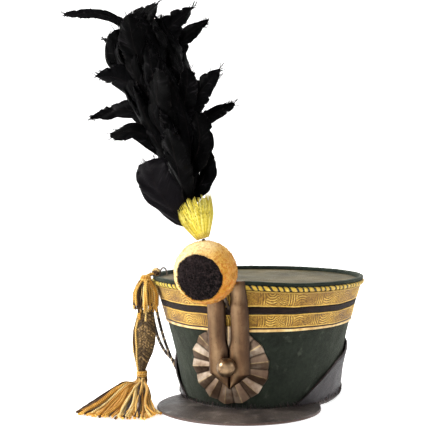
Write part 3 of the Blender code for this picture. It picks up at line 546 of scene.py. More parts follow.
def threadLook(name, tones, pitch, plies=2.0, dark=0.35, rough=0.85):
    look = Look(name, {"Sheen Weight": 0.12, "Sheen Roughness": 0.5, "Specular IOR Level": 0.2})
    u, v = look.uv()
    ply = (u + v / pitch).ripple(1.0 / plies)
    tone = look.mark("tone") + (look.noise(160.0, 3) - 0.5) * 0.25
    colour = look.ramp(tone, *((k / (len(tones) - 1), *held) for k, held in enumerate(tones)))
    # painted shade: the grooves between the plies are darkened, by as much as dark says
    groove = (ply * -1.0).between(0.1, 1.0) * dark
    look.give("Base Color", look.mix(groove, colour, (34, 24, 16)))
    look.give("Roughness", look.noise(220.0, 2) * 0.2 + (rough - 0.1))
    look.bump(ply * 0.5 + look.noise(900.0, 3, 0.6) * 0.8, 0.0004)
    return look.material


# two-ply threads in one mesh, each with a tone of its own
def plied(name, paths, radii, tones, depth, pitch, sides=8, across=None):
    marks = {"tone": tones}
    return tubes(name, paths, radii, sides, across=across, lobes=2, depth=depth, pitch=pitch, marks=marks)


# The cap line's two cords, laid first; each route repeats its solid's points

cordSizes = {
    "diameter": 0.0034,
    "plump": 1.04,  # makes up for what the grooves take
    "step": 0.0009,
    "sides": 12,
    "plies": 3,
    "groove": 0.22,
    "lay": 0.0115,  # one turn of the plies
    # degrees round the hat, share of its height, metres off its wall
    "routeA": (
        (-119.5, 1.026, -0.0006),
        (-115.5, 0.985, 0.0062),
        (-112.0, 0.900, 0.0078),
        (-107.0, 0.760, 0.0093),
        (-103.5, 0.610, 0.0122),
        (-99.5, 0.430, 0.0139),
        (-94.0, 0.240, 0.0134),
        (-86.5, 0.075, 0.0106),
        (-72.0, 0.022, 0.0090),
        (-45.0, 0.018, 0.0090),
        (-20.0, 0.022, 0.0090),
        (5.0, 0.080, 0.0090),
        (23.0, 0.240, 0.0085),
        (37.0, 0.450, 0.0080),
        (46.0, 0.630, 0.0065),
        (51.0, 0.750, 0.0052),
        (52.5, 0.800, 0.0046),
    ),
    "routeB": (
        (-120.7, 1.026, 0.0024),
        (-119.8, 0.990, 0.0064),
        (-117.0, 0.900, 0.0097),
        (-112.0, 0.740, 0.0134),
        (-107.5, 0.590, 0.0167),
        (-101.5, 0.440, 0.0189),
        (-93.5, 0.300, 0.0189),
        (-83.0, 0.190, 0.0169),
        (-66.0, 0.110, 0.0152),
        (-42.0, 0.085, 0.0140),
        (-18.0, 0.095, 0.0140),
        (7.0, 0.165, 0.0140),
        (26.0, 0.310, 0.0135),
        (41.0, 0.500, 0.0125),
        (51.5, 0.650, 0.0105),
        (57.5, 0.755, 0.0065),
        (58.5, 0.800, 0.0048),
    ),
}


def cordLook():
    look = Look("twistedCord", {"Sheen Weight": 0.2, "Roughness": 0.85, "Specular IOR Level": 0.25})
    u, v = look.uv()
    turn = u * cordSizes["plies"] - v * (cordSizes["plies"] / cordSizes["lay"])
    ply = turn.ripple(1.0)
    strand = look.node("ShaderNodeTexWhiteNoise", {"noise_dimensions": "1D"}, {"W": (turn + 40.25).floor()})
    fleck = look.noise(150.0, 2, at=look.vector(v, u * 0.004))
    pale = strand.over(0.55) * fleck.between(0.40, 0.56)
    brown = look.ramp(look.noise(120.0, 3), (0.35, 30, 23, 20), (0.65, 62, 46, 36))
    look.give("Base Color", look.mix(pale, brown, (196, 172, 138)))
    look.bump(ply * 0.4 + look.noise(1400.0, 3) * 0.6, 0.0004)
    return look.material


# three plies along a smooth route: radius = r (1 - groove (1 - cos 3(turn - 2 pi length / lay)) / 2)
def makeCords():
    s = cordSizes
    material = cordLook()
    for name, route in (("line_cord_a", "routeA"), ("line_cord_b", "routeB")):
        turn, rise, offset = np.array(s[route]).T
        points = wall(np.radians(turn), rise * hat["height"], offset)
        path = evenPath(smoothPath(points, 24), s["step"])
        cord = tubes(f"cap_{name}", path[None], s["diameter"] / 2 * s["plump"], s["sides"], lobes=s["plies"],
                     depth=s["groove"], pitch=s["lay"])
        dress(cord, material, "line_cord", name)


makeCords()
print("cords laid")


# Felt body, crown and rim

felt = {
    "around": 370,
    "rows": 46,
    "foot": 0.0016,
    "top": 0.1285,
    "inset": 0.00013,
    "dents": ((0.030, 3, 0.00026), (0.009, 4, 0.000104)),  # pitch, seed, depth
    "inside": 9,  # one row inside for so many outside
}


def feltLook(name, dark, light, fade):
    look = Look(name, {"Sheen Weight": 0.35, "Sheen Roughness": 0.45, "Specular IOR Level": 0.12})
    look.shader.inputs["Sheen Tint"].default_value = paint(160, 165, 150)
    cloud = look.noise(28.0, 4, 0.6)
    fibre = look.noise(900.0, 4, 0.7, stretch=1.5)
    pill = look.noise(260.0, 3, 0.6)
    tone = cloud * 0.55 + fibre * 0.30 + pill * 0.30
    colour = look.ramp(tone, (0.42, *dark), (0.72, *light))
    worn = look.noise(75.0, 5, 0.65).between(0.56, 0.72) * 0.35
    look.give("Base Color", look.mix(worn, colour, fade))
    look.give("Roughness", fibre * 0.12 + 0.86)
    look.bump(fibre * 0.6 + pill * 0.9, 0.0006, 0.8)
    return look.material


# outside the wall swells by slow and quick waves, inside it is plain
def makeFelt():
    s = felt
    turns = turnsOf(s["around"])[None]
    heights = np.linspace(s["foot"], s["top"], s["rows"])[:, None]
    outer = wall(turns, heights, dents(wall(turns, heights), s["dents"]) - s["inset"])
    inner = wall(turns, heights[::-s["inside"]], -hat["felt"])
    u = clothRun(s["around"])
    body = surface("shell_felt", np.concatenate([outer, inner]), u=u, loop=True)
    dress(body, feltLook("greenFelt", (18, 21, 17), (40, 46, 38), (82, 87, 76)), "felt_green", "felt_body")


crown = {
    "top": 0.1262,
    "thick": 0.0025,
    "sag": 0.0022,
    "creases": ((0.05, 8, 0.0005), (0.012, 9, 0.00012)),  # pitch, seed, depth
    "rings": 60,
    "around": 240,
    "under": 23,  # one ring below for so many above
}


def crownLook():
    look = Look("wornCrown", {"Specular IOR Level": 0.3})
    scuff = look.noise(90.0, 6, 0.7).between(0.52, 0.75)
    colour = look.ramp(look.noise(22.0, 5, 0.6), (0.35, 70, 65, 42), (0.5, 92, 84, 56), (0.7, 112, 99, 68))
    look.give("Base Color", look.mix(scuff * 0.4, colour, (146, 136, 108)))
    look.give("Roughness", look.noise(60.0, 4) * 0.35 + 0.45)
    look.bump(look.cells(900.0).between(0.0, 0.25) * 0.5 + look.noise(160.0, 4) * 0.8, 0.0004)
    return look.material


# a disc of shrinking rims: height = top - sag (1 - r^2) + creases that fade out at the wall as r^6
def makeCrown():
    s = crown
    shares = np.linspace(0.01, 1, s["rings"])[:, None]
    edge = wall(turnsOf(s["around"]), s["top"], -hat["felt"] - hat["gap"])
    middle = np.array([0, hat["topShift"] * s["top"] / hat["height"], s["top"]])
    upper = middle + (edge - middle)[None] * shares[..., None]
    lower = upper[::-s["under"]] - [0, 0, s["thick"]]
    upper[..., 2] += dents(upper[..., :2], s["creases"]) * (1 - shares**6) - s["sag"] * (1 - shares**2)
    disc = surface("crown_leather_top", np.concatenate([upper, lower]), crease=50)
    dress(disc, crownLook(), "crown_leather", "crown_top")


rim = {
    "thick": 0.0012,
    "face": 0.0036,
    "relief": 0.00016,
    "pitch": 0.008,
    "around": 480,
}


# a closed profile of (offset, height) pairs, rounded by a curve through them and carried round the wall
def carried(name, profile, around, relief, pitch, seed):
    held = np.array([*profile, profile[0]])
    line = smoothPath(np.c_[held, held[:, :1] * 0], 3)[:-1, :2]
    turns = turnsOf(around)[None]
    offset, height = line[:, :1], line[:, 1:]
    lift = waves(roundOf(turns, hat["girth"], np.arange(len(line))[:, None] * 0.001), pitch, seed) * relief
    out = unit(line - line.mean(0))
    grid = wall(turns, height + lift * out[:, 1:], offset + lift * out[:, :1])
    run = runLength(np.c_[line, line[:, :1] * 0])
    run = np.append(run, run[-1] + np.linalg.norm(line[0] - line[-1]))
    return surface(name, grid, u=clothRun(around), v=run, loop=True)


# a felt strip folded over the wall's top edge
def makeRim():
    top, thick, gap = hat["height"], rim["thick"], hat["gap"]
    inner = -hat["felt"] - gap
    profile = [
        (gap, top - rim["face"]),
        (gap + thick * 0.7, top - rim["face"] + 0.0001),
        (gap + thick, top - rim["face"] + 0.0006),
        (gap + thick, top - thick),
        (gap + thick * 0.3, top - 0.0001),
        ((inner - thick + gap + thick) / 2, top),
        (inner - thick * 0.3, top - 0.0001),
        (inner - thick, top - thick),
        (inner - thick, crown["top"] + gap),
        (inner - thick * 0.3, crown["top"] + gap),
        (inner, top - thick * 1.6),
        ((inner + gap) / 2, top - thick * 1.05),
        (gap, top - thick * 1.6),
    ]
    binding = carried("rim_felt_binding", profile, rim["around"], rim["relief"], rim["pitch"], 21)
    look = feltLook("greyFelt", (17, 23, 20), (36, 45, 38), (64, 72, 60))
    dress(binding, look, "felt_green", "rim_binding")


makeFelt()
makeCrown()
makeRim()
print("felt, crown and rim made")


# Bands: gold lace above and below a dark stripe, a pale edge, and a yellow twist at the rim

bands = {
    "upper": (0.1212, 0.1065),
    "stripe": (0.1062, 0.1002),
    "lower": (0.0999, 0.0863),
    "edge": (0.0860, 0.0824),
    "thick": 0.0010,
    "around": {"upper": 1280, "stripe": 640, "lower": 1280, "edge": 900},
    "rows": {"upper": 31, "stripe": 8, "lower": 29, "edge": 11},
    "wander": 0.0007,  # how far the edges stray up and down
    "repeat": 0.030,
    "strokes": 0.0022,
    "arcs": 0.0023,
    "bars": 0.0024,
    "relief": 0.00030,
}


# the stray of the bands' edges at each turn, shared by all so that none opens a gap
def stray(turns, height):
    slow = np.sin(5 * turns + 0.7) * 0.6 + np.sin(11 * turns + 2.1) * 0.35 + np.sin(23 * turns + 4.0) * 0.18
    weight = smooth(0.0805, 0.088, height) * smooth(0.1215, 0.113, height)
    return slow * weight * bands["wander"]


# v is metres up the band, t the share across its height from its foot
def bandGrid(top, foot, around, rows, relief):
    turns = turnsOf(around)
    t = np.linspace(0, 1, rows)[:, None]
    height = foot + (top - foot) * t
    x = turns[None] * hat["girth"]
    swell, marks = relief(x, t * (top - foot), top - foot)
    edge = np.minimum(1, np.minimum(t, 1 - t) * (top - foot) / 0.0004) ** 0.5
    offset = hat["gap"] + bands["thick"] * (0.35 + 0.65 * edge) + swell * edge
    height = height + stray(turns[None], height)
    front = wall(turns[None], height, offset)
    back = wall(turns[None], height[[-1, 0]], hat["gap"])
    marks = {key: np.concatenate([value, value[[-1, 0]]]) for key, value in marks.items()}
    v = np.concatenate([t[:, 0] * (top - foot), [top - foot, 0, 0]])
    return np.concatenate([front, back]), v, marks


# zones along the band: a leaf of slanting strokes, a fan of arcs, then upright bars; a cord at each selvedge
def laceRelief(x, v, height):
    s = bands
    repeat = s["repeat"]
    phase, across = (x / repeat) % 1.0, v / height
    mirror = np.where(np.floor(x / repeat) % 2 == 0, 1, -1)
    middle = height * (0.5 + 0.10 * ripple(x, 0.017))
    leaf = ripple(x + mirror * 1.25 * np.abs(v - middle), s["strokes"])
    fan = ripple(np.hypot((phase - 0.50) * repeat, v - height * (0.5 - 0.42 * mirror)), s["arcs"])
    bars = ripple(x + 0.0014 * np.cos((across - 0.5) * 3.0), s["bars"])
    atFan = smooth(0.32, 0.36, phase) * smooth(0.68, 0.64, phase)
    atBars = smooth(0.66, 0.70, phase) * smooth(1.0, 0.97, phase)
    figure = leaf * (1 - atFan - atBars) + fan * atFan + bars * atBars
    rubbed = smooth(-0.9, 0.5, waves(together(x, v * 3), 0.05, 17))
    figure = smooth(-0.4, 0.7, figure) * (0.25 + 0.75 * rubbed)
    selvedge = np.exp(-(((across - 0.06) / 0.04) ** 2)) + np.exp(-(((across - 0.94) / 0.04) ** 2))
    shape = figure * smooth(0.11, 0.16, across) * smooth(0.89, 0.84, across) + selvedge
    return shape * s["relief"], {"figure": shape}


# three ribs up the stripe and a fine one along it
def plainRelief(x, v, height):
    ridge = np.sin(v / height * math.pi * 3) * 0.00006 + ripple(x, 0.0016) * 0.00003
    return ridge, {"figure": v / height + 0 * x}


# the edge is a flat cord: a dark line along its top and a plump pale roll below
def edgeRelief(x, v, height):
    across = v / height
    roll = np.sqrt(np.clip(1 - ((across - 0.36) / 0.40) ** 2, 0, 1))
    pucker = np.sin(x * 2 * math.pi / 0.0130 + 1.5 * np.sin(x * 37)) * 0.12 + 1
    return roll * pucker * 0.0007 - 0.0002, {"figure": across + 0 * x}


def laceLook():
    fixed = {"Sheen Weight": 0.15, "Metallic": 0.25, "Specular IOR Level": 0.4, "Anisotropic": 0.3}
    look = Look("goldLace", fixed)
    u, v = look.uv()
    figure = look.mark("figure")
    weave = u.ripple(0.00075) * 0.5 + v.ripple(0.00055) * 0.5
    tone = figure * 0.40 + look.noise(460.0, 3, 0.7) * 0.62 + weave * 0.12 + look.noise(26.0, 4) * 0.30
    stops = (0.36, 52, 32, 8), (0.52, 150, 106, 28), (0.70, 218, 170, 58), (0.92, 252, 218, 116)
    colour = look.ramp(tone, *stops)
    worn = look.noise(38.0, 5, 0.62).between(0.50, 0.66)
    place = look.parts(look.place())
    shade = (place[0] * -1.0).between(-0.02, 0.09) * 0.45 + 0.25
    # painted shadow under the rim braid: the upper lace darkens towards its top
    under = place[2].between(0.1085, 0.1215) * 0.42
    shaded = look.mix(under, colour, (104, 74, 26))
    look.give("Base Color", look.mix(worn * shade, shaded, (128, 88, 48)))
    look.give("Roughness", look.noise(400.0, 2) * 0.25 + 0.42)
    look.bump(weave * 0.4 + figure * 0.6 + look.noise(1200.0, 2) * 0.4, 0.00045)
    return look.material


def stripeLook():
    look = Look("darkStripe", {"Sheen Weight": 0.08, "Specular IOR Level": 0.12})
    u, v = look.uv()
    rib = v.ripple(0.0009) * 0.5 + u.ripple(0.0008) * 0.5
    tone = look.noise(120.0, 4) * 0.8 + rib * 0.12
    look.give("Base Color", look.ramp(tone, (0.25, 20, 11, 9), (0.6, 40, 26, 20)))
    look.give("Roughness", look.noise(300.0, 2) * 0.2 + 0.7)
    look.bump(rib * 0.6 + look.noise(1000.0, 2) * 0.5, 0.0003)
    return look.material


def edgeLook():
    look = Look("paleEdge", {"Sheen Weight": 0.2, "Specular IOR Level": 0.35})
    u, v = look.uv()
    fleck = look.noise(70.0, 3, at=look.vector(u, v * 0.2))
    pale = look.ramp(fleck, (0.38, 196, 150, 86), (0.55, 232, 200, 132), (0.7, 244, 228, 176))
    look.give("Base Color", look.mix(look.mark("figure").between(0.66, 0.78), pale, (58, 22, 18)))
    look.give("Roughness", look.noise(300.0, 2) * 0.2 + 0.5)
    look.bump(u.ripple(0.0011) * 0.3 + look.noise(900.0, 2) * 0.4, 0.0003)
    return look.material


def makeBands():
    lace, stripe, edge = laceLook(), stripeLook(), edgeLook()
    rows = (("upper", laceRelief, lace, "gold_lace"), ("stripe", plainRelief, stripe, "dark_stripe"),
            ("lower", laceRelief, lace, "gold_lace"), ("edge", edgeRelief, edge, "gold_lace"))
    for key, relief, look, slot in rows:
        around = bands["around"][key]
        grid, v, marks = bandGrid(*bands[key], around, bands["rows"][key], relief)
        band = surface(f"band_{key}", grid, u=clothRun(around), v=v, loop=True, marks=marks)
        dress(band, look, slot, f"lace_{key}")


braid = {
    "top": 0.1261,
    "foot": 0.1215,
    "depth": 0.0034,
    "lay": 0.0061,  # along the rim, from one dark dash to the next
    "around": 1250,
    "sides": 18,
    "groove": 0.42,
}


def braidLook():
    look = Look("yellowTwist", {"Sheen Weight": 0.2, "Specular IOR Level": 0.4, "Metallic": 0.1})
    u, v = look.uv()
    silk = look.noise(140.0, 3, at=look.vector(u, v * 0.01))
    fine = (u + v * 0.006).ripple(0.0009)
    stops = (0.25, 176, 136, 30), (0.5, 226, 190, 56), (0.68, 248, 226, 118)
    bright = look.ramp(silk * 0.8 + fine * 0.12, *stops)
    # painted light: the braid's left side, towards the key lamp, is mixed towards a purer yellow
    left = (look.parts(look.place())[0] * -1.0).between(0.0, 0.10)
    leftLit = look.mix(left * 0.35, bright, (222, 206, 40))
    # painted shade: the slanting grooves between the twists are darkened
    look.give("Base Color", look.mix(look.mark("groove").between(0.54, 0.76), leftLit, (26, 20, 8)))
    look.give("Roughness", silk * 0.3 + 0.4)
    look.bump(fine * 0.5 + look.noise(900.0, 2) * 0.4, 0.0003)
    return look.material


# an oval cord round the rim, cut by slanting grooves: phase = x / lay - round / (2 pi)
def makeBraid():
    s = braid
    turns, spin = turnsOf(s["around"])[None], turnsOf(s["sides"])[:, None]
    count = round(2 * math.pi * hat["girth"] / s["lay"])
    phase = (turns * count / (2 * math.pi) + np.sin(turns * 31) * 0.12 - spin / (2 * math.pi)) % 1.0
    gap = np.abs(phase - 0.5) * 2
    reach = 1 - s["groove"] * smooth(0.50, 0.95, gap) + 0.05 * np.cos(phase * 12)
    height = (s["top"] + s["foot"]) / 2 + (s["top"] - s["foot"]) / 2 * reach * np.sin(spin)
    grid = wall(turns, height, hat["gap"] + s["depth"] / 2 + s["depth"] / 2 * reach * np.cos(spin))
    v = np.linspace(0, 1, s["sides"] + 1)
    twist = surface("rim_twist", grid, u=clothRun(s["around"]), v=v, loop=True, marks={"groove": gap})
    dress(twist, braidLook(), "yellow_braid", "rim_braid")


makeBands()
makeBraid()
print("bands woven")


# Leather peaks, foot binding and the seam's stitches


# the mark "edge" says where the leather is worn brown
def leatherLook(name, dark, light, brown, gloss):
    look = Look(name, {"Specular IOR Level": 0.45})
    cloud = look.noise(26.0, 5, 0.6)
    grain = look.cells(1100.0)
    crack = look.cells(140.0)
    scuff = look.noise(80.0, 6, 0.76).between(0.50, 0.70)
    rubbed = look.mix(scuff * 0.55, look.ramp(cloud, (0.35, *dark), (0.68, *light)), brown)
    edge = look.mark("edge")
    look.give("Base Color", look.mix(edge * 0.7, rubbed, (84, 52, 42)))
    look.give("Roughness", look.noise(48.0, 5, 0.65) * 0.45 + gloss + edge * 0.1)
    dent = look.noise(130.0, 5, 0.6) * 1.2 + grain.between(0.0, 0.3) * 0.35
    look.bump(dent - (1 - crack.between(0.0, 0.06)) * 0.25, 0.0005, 0.9)
    return look.material


# the share of its thickness that a sheet keeps at t, as it rolls over within the last metres of its width
def rolled(t, width, last, least):
    return np.sqrt(np.clip(1 - np.clip((t - 1) * width / last + 1, 0, 1) ** 2, least, 1))


peakSizes = {
    "halfWidth": 0.083,
    "reach": 0.080,
    "centreY": -0.082,
    "lift": 0.0003,
    "thick": 0.0026,
    "rootRise": 0.0010,
    "endWidth": 0.0012,
    "inner": 0.0022,
    "turns": (2.0403297, 1.1161912),  # of the body and of the peak's edge where the two meet
    "dome": 0.00096,
    "dents": ((0.045, 31, 0.00035), (0.014, 32, 0.00010)),  # pitch, seed, depth
    "roll": 0.0012,
    "under": 0.0008,
    "rows": 180,
    "cols": 36,
}


# top and bottom run out to a rounded edge: height falls as (1 - t)^2 from the seam, with a low dome between
def makePeak(material):
    s = peakSizes
    share = np.linspace(0, 1, s["rows"])
    around, sweep = (start + (2 * math.pi - 2 * start) * share for start in s["turns"])
    outer = np.stack([s["halfWidth"] * np.sin(sweep), s["centreY"] + s["reach"] * np.cos(sweep)], -1)
    low, high = s["lift"], s["lift"] + s["thick"]
    root = high + s["rootRise"]
    inner = wall(around, root, s["inner"])[:, :2]
    narrow = wall(around, root, s["inner"] + s["endWidth"])[:, :2]
    near = np.linalg.norm(outer, axis=1) < np.linalg.norm(narrow, axis=1)
    outer = np.where(near[:, None], narrow, outer)
    t = np.linspace(0, 1, s["cols"])[None]
    flat = inner[:, None] + (outer - inner)[:, None] * t[..., None]
    width = np.linalg.norm(outer - inner, axis=1)[:, None]
    dome = np.sin(math.pi * np.clip(t, 0, 1)) * s["dome"] * smooth(0.004, 0.04, width)
    dent = dents(flat, s["dents"]) * smooth(1, 0.9, t)
    top = high + s["rootRise"] * (1 - t) ** 2 + dome
    top = low + (top - low + dent) * (0.45 + 0.55 * rolled(t, width, s["roll"], 0))
    bottom = low + s["under"] * smooth(0.97, 1.0, t) + 0 * width
    grid = folded(np.concatenate([flat, top[..., None]], -1), np.concatenate([flat, bottom[..., None]], -1))
    marks = {"edge": folded(smooth(0.965, 1.0, t) + 0 * width)}
    dress(surface("front_visor", grid, marks=marks, crease=60), material, "black_leather", "peak")


flapSizes = {
    "height": 0.0625,
    "thick": 0.0020,
    "turn": math.radians(135),
    "flare": 0.0014,
    "end": 0.0035,
    "off": 0.0005,
    "dents": ((0.05, 41, 0.0003), (0.013, 42, 0.00012)),  # pitch, seed, depth
    "roll": 0.001,
    "rows": 240,
    "cols": 26,
}


# height = foot + (top - foot)(1 - share^4)^1.2, and the free edge stands a little off the wall
def makeBackPeak(material):
    s = flapSizes
    turn = (np.linspace(-1, 1, s["rows"]) * s["turn"])[:, None]
    share = np.abs(turn) / s["turn"]
    foot = footSizes["rise"] + hat["gap"]
    rise = (s["height"] - foot - s["end"]) * (1 - share**4) ** 1.2 + s["end"]
    t = np.linspace(0, 1, s["cols"])[None]
    height = foot + rise * t
    lean = s["flare"] * (0.3 * t * (1 - t) + t**3)
    wave = np.sin(turn * 9 + 0.5) * 0.0005 * t**2 + np.sin(turn * 17) * 0.0003 * t**3
    inner = np.maximum(hat["gap"] + s["off"] + lean + wave, hat["gap"])
    thick = s["thick"] * rolled(t, rise, s["roll"], 0.04)
    dent = dents(wall(turn, height), s["dents"]) * smooth(0, 0.1, t)
    grid = folded(wall(turn, height, inner + thick + dent), wall(turn, height, inner))
    marks = {"edge": folded(smooth(0.95, 1.0, t) * 0.35 + smooth(0.05, 0.0, t) * 0.3 + 0 * turn)}
    dress(surface("back_flap", grid, marks=marks, crease=60), material, "black_leather", "back_peak")


footSizes = {
    "rise": 0.0046,
    "thick": 0.0013,
    "around": 420,
    "relief": 0.00012,
    "pitch": 0.007,
    "worn": 0.12,
}


# a leather strip folded under the wall's foot
def makeFoot(material):
    s = footSizes
    gap, rise, thick, inner = hat["gap"], s["rise"], s["thick"], -hat["felt"]
    profile = [
        (gap + thick * 0.8, 0.0002),
        (gap + thick, 0.0010),
        (gap + thick, rise - 0.0008),
        (gap + thick * 0.4, rise),
        (gap, rise - 0.0004),
        (gap, thick + 0.0003),
        (inner / 2, thick),
        (inner, thick),
        (inner, 0.0003),
        (inner / 2, 0.0),
    ]
    binding = carried("foot_leather", profile, s["around"], s["relief"], s["pitch"], 51)
    evenMark(binding, "edge", s["worn"])
    dress(binding, material, "black_leather", "base_binding")


stitchSizes = {
    "girth": 0.093,
    "pitch": 0.0034,
    "radius": 0.00042,
    "low": (0.0030, 0.0030),  # in front and behind, as in the next four
    "high": (0.0078, 0.0090),
    "off": (0.0004, 0.0032),
    "bow": (1.2, 0.5),
    "kick": (0.0022, 0.0),
    "tones": ((20, 16, 18), (44, 34, 36), (70, 54, 50)),
}


# short slanting stitches along the front seam and the back flap's foot, each a little bowed
def makeStitches():
    s = stitchSizes
    draw = np.random.default_rng(61)
    turns = turnsOf(round(2 * math.pi * s["girth"] / s["pitch"]))
    count = len(turns)
    turns = turns + draw.normal(0, 0.004, count)
    front = np.cos(turns) < -0.42
    pairs = (s["low"], s["high"], s["off"], s["bow"], s["kick"])
    low, high, off, bow, kick = (np.where(front, *pair)[:, None] for pair in pairs)
    low = low + draw.uniform(-0.0006, 0.0006, (count, 1))
    high = high + draw.uniform(-0.0024, 0.0022, (count, 1))
    lean = draw.normal(0.018, 0.010, (count, 1))
    t = np.linspace(0, 1, 7)
    offset = off + 0.0014 * np.sin(math.pi * t) ** 0.6 * bow + kick * (1 - t) ** 2
    paths = wall(turns[:, None] + lean * t, low + (high - low) * t, offset)
    radii = s["radius"] * draw.uniform(0.7, 1.6, (count, 1)) * np.sin(math.pi * (0.12 + 0.76 * t)) ** 0.5
    stitches = plied("seam_stitches", paths, radii, draw.uniform(0, 1, count), 0.2, 0.003, 6)
    dress(stitches, threadLook("blackThread", s["tones"], 0.003), "black_leather")


fuzzSizes = {
    "count": 1500,
    "sweep": 1.16,  # half the front, in radians
    "lean": 0.010,
    "drop": 0.0030,
    "proud": 0.0012,
    "height": 0.0052,
    "spread": 0.0022,
    "radii": (0.00026, 0.00020, 0.00006),
}


# short fibres that hang out of the felt's foot and hide the front seam
def makeSeamFuzz(look):
    s = fuzzSizes
    draw = np.random.default_rng(62)
    one = (s["count"], 1)
    turn = math.pi + draw.uniform(-1, 1, one) * s["sweep"]
    t = np.linspace(0, 1, 3)
    lean = draw.normal(0, s["lean"], one) * t
    drop = s["drop"] * t * draw.uniform(0.5, 1.2, one)
    proud = s["proud"] * np.sin(math.pi * t * 0.7) * draw.uniform(0.5, 1.2, one)
    height = s["height"] + draw.uniform(0, s["spread"], one) - drop
    dress(tubes("seam_fuzz", wall(turn + lean, height, proud), np.array([s["radii"]]), 3), look, "felt_green")


leather = leatherLook("blackLeather", (46, 40, 38), (82, 74, 69), (142, 133, 124), 0.20)
makePeak(leather)
makeBackPeak(leatherLook("flapLeather", (20, 16, 19), (38, 31, 36), (70, 60, 64), 0.24))
makeFoot(leather)
makeStitches()
makeSeamFuzz(bpy.data.materials["greenFelt"])
print("leather sewn")


# Brass: fluted cockade, double loop, ball and catch

cockadeSizes = {
    "x": -0.0017,
    "z": 0.0488,
    "radius": 0.040,
    "back": 0.0019,
    "thick": 0.0010,
    "relief": 0.0026,
    "grow": ((0, 0.22, 0.62, 1.0), (0.2, 0.45, 0.8, 1.0)),  # shares of the radius and of the relief
    "uneven": 0.00025,
    "notch": 0.035,
    "flutes": 14,
    "perFold": 6,
    "rings": 40,
}


def flutedLook():
    look = Look("flutedBrass", {"Specular IOR Level": 0.5})
    facet, fold = look.mark("facet"), look.mark("fold")
    cloud = look.noise(60.0, 5, 0.6)
    tone = cloud * 0.7 + facet * 0.25
    colour = look.ramp(tone, (0.30, 74, 58, 48), (0.50, 136, 115, 96), (0.72, 218, 203, 184))
    ridge = fold.between(0.86, 1.0) * look.noise(120.0, 3).between(0.3, 0.6)
    edged = look.mix(ridge * 0.6, colour, (214, 186, 128))
    place = look.parts(look.place())
    # painted shade: the lower and right-hand flutes are darkened
    low = (place[0] * 0.5 - place[2]).between(-0.052, -0.026) * 0.48
    lowerShaded = look.mix(low, edged, (92, 68, 52))
    # painted shade in the valleys between the flutes
    look.give("Base Color", look.mix((1 - fold.between(0.0, 0.22)) * 0.7, lowerShaded, (40, 30, 25)))
    look.give("Metallic", 0.85 - cloud.between(0.5, 0.8) * 0.2)
    look.give("Roughness", look.noise(140.0, 4) * 0.2 + 0.26)
    look.bump(look.noise(380.0, 3) * 0.5 + look.noise(70.0, 3) * 0.6, 0.0003, 0.5)
    return look.material


# relief is a triangle wave of the angle, growing outwards; the rim is notched where the folds turn back
def makeCockade():
    s = cockadeSizes
    cols = s["flutes"] * 2 * s["perFold"]
    angle = 2 * math.pi * (np.arange(cols) / cols)[None] + math.pi / s["flutes"] / 2
    fold = np.abs(((np.arange(cols) / (2 * s["perFold"])) % 1.0) - 0.5)[None] * 2
    share = np.concatenate([np.linspace(0.04, 0.97, s["rings"]), [0.99, 1.0]])[:, None]
    lift = s["thick"] + s["relief"] * np.interp(share, *s["grow"]) * fold
    fanned = np.random.default_rng(71).uniform(-1, 1, s["flutes"] * 2)
    uneven = np.repeat(fanned, s["perFold"])[None] * s["uneven"] * share
    reach = s["radius"] * share * (1 - s["notch"] + s["notch"] * fold)
    x, z = s["x"] + reach * np.sin(angle), s["z"] + reach * np.cos(angle)
    front = frontPoint(x, z, s["back"] + lift + uneven)
    back = frontPoint(x[::-1], z[::-1], s["back"])
    fanTone = np.random.default_rng(72).uniform(0, 1, s["flutes"] * 2)
    facet = np.repeat(fanTone, s["perFold"])[None] + 0 * share
    marks = {"facet": np.concatenate([facet] * 2), "fold": np.concatenate([fold + 0 * share] * 2)}
    disc = surface("cockade_fan", np.concatenate([front, back]), marks=marks, crease=20)
    dress(disc, flutedLook(), "aged_brass", "cockade_disc")


# the mark "right" says how far round to its shaded side a place is
def brassLook(name, dark, mid, light, rough):
    look = Look(name, {"Specular IOR Level": 0.5})
    cloud = look.noise(34.0, 5, 0.62)
    drawn = look.node("ShaderNodeMapping", {}, {0: look.place(), "Scale": (1, 1, 0.12)})
    streak = look.noise(150.0, 4, 0.6, at=drawn)
    spot = look.noise(420.0, 3, 0.6).between(0.60, 0.72)
    tone = cloud * 0.6 + streak * 0.45
    colour = look.ramp(tone, (0.36, *dark), (0.52, *mid), (0.72, *light))
    side = look.mark("right")
    shine = side.between(0.14, 0.34) * (1 - side.between(0.40, 0.62)) * 0.26
    shade = side.between(0.52, 0.96) * 0.78 + (1 - side.between(0.0, 0.14)) * 0.5
    shaded = look.mix(shade, look.mix(shine, colour, (168, 142, 108)), (46, 33, 26))
    look.give("Base Color", look.mix(spot * 0.5, shaded, (50, 38, 30)))
    look.give("Metallic", 0.92 - cloud.between(0.5, 0.75) * 0.25)
    look.give("Roughness", look.noise(90.0, 4) * 0.22 + streak * 0.12 + rough)
    look.bump(look.noise(240.0, 4, 0.6) * 0.5 + look.noise(60.0, 3) * 0.8, 0.0003, 0.6)
    return look.material


barSizes = {
    "x": 0.0016,
    "lean": math.radians(2.0),
    "width": 0.0180,
    "depth": 0.0060,
    "gap": 0.0058,
    "narrow": 0.0034,  # what the bar at +X loses of its width by the top
    "tip": 0.0014,
    "gapFoot": 0.016,  # this and the next three are from the cockade's centre or the rim
    "topRise": 0.0040,
    "pointDrop": 0.0235,
    "shoulderDrop": 0.0080,
    "back": 0.0058,
    "topBack": 0.0040,
    "bend": (0.1169, 0.1077),
    "dent": 0.00018,
    "pointRows": 24,
    "rows": 70,
    "cols": 30,
}


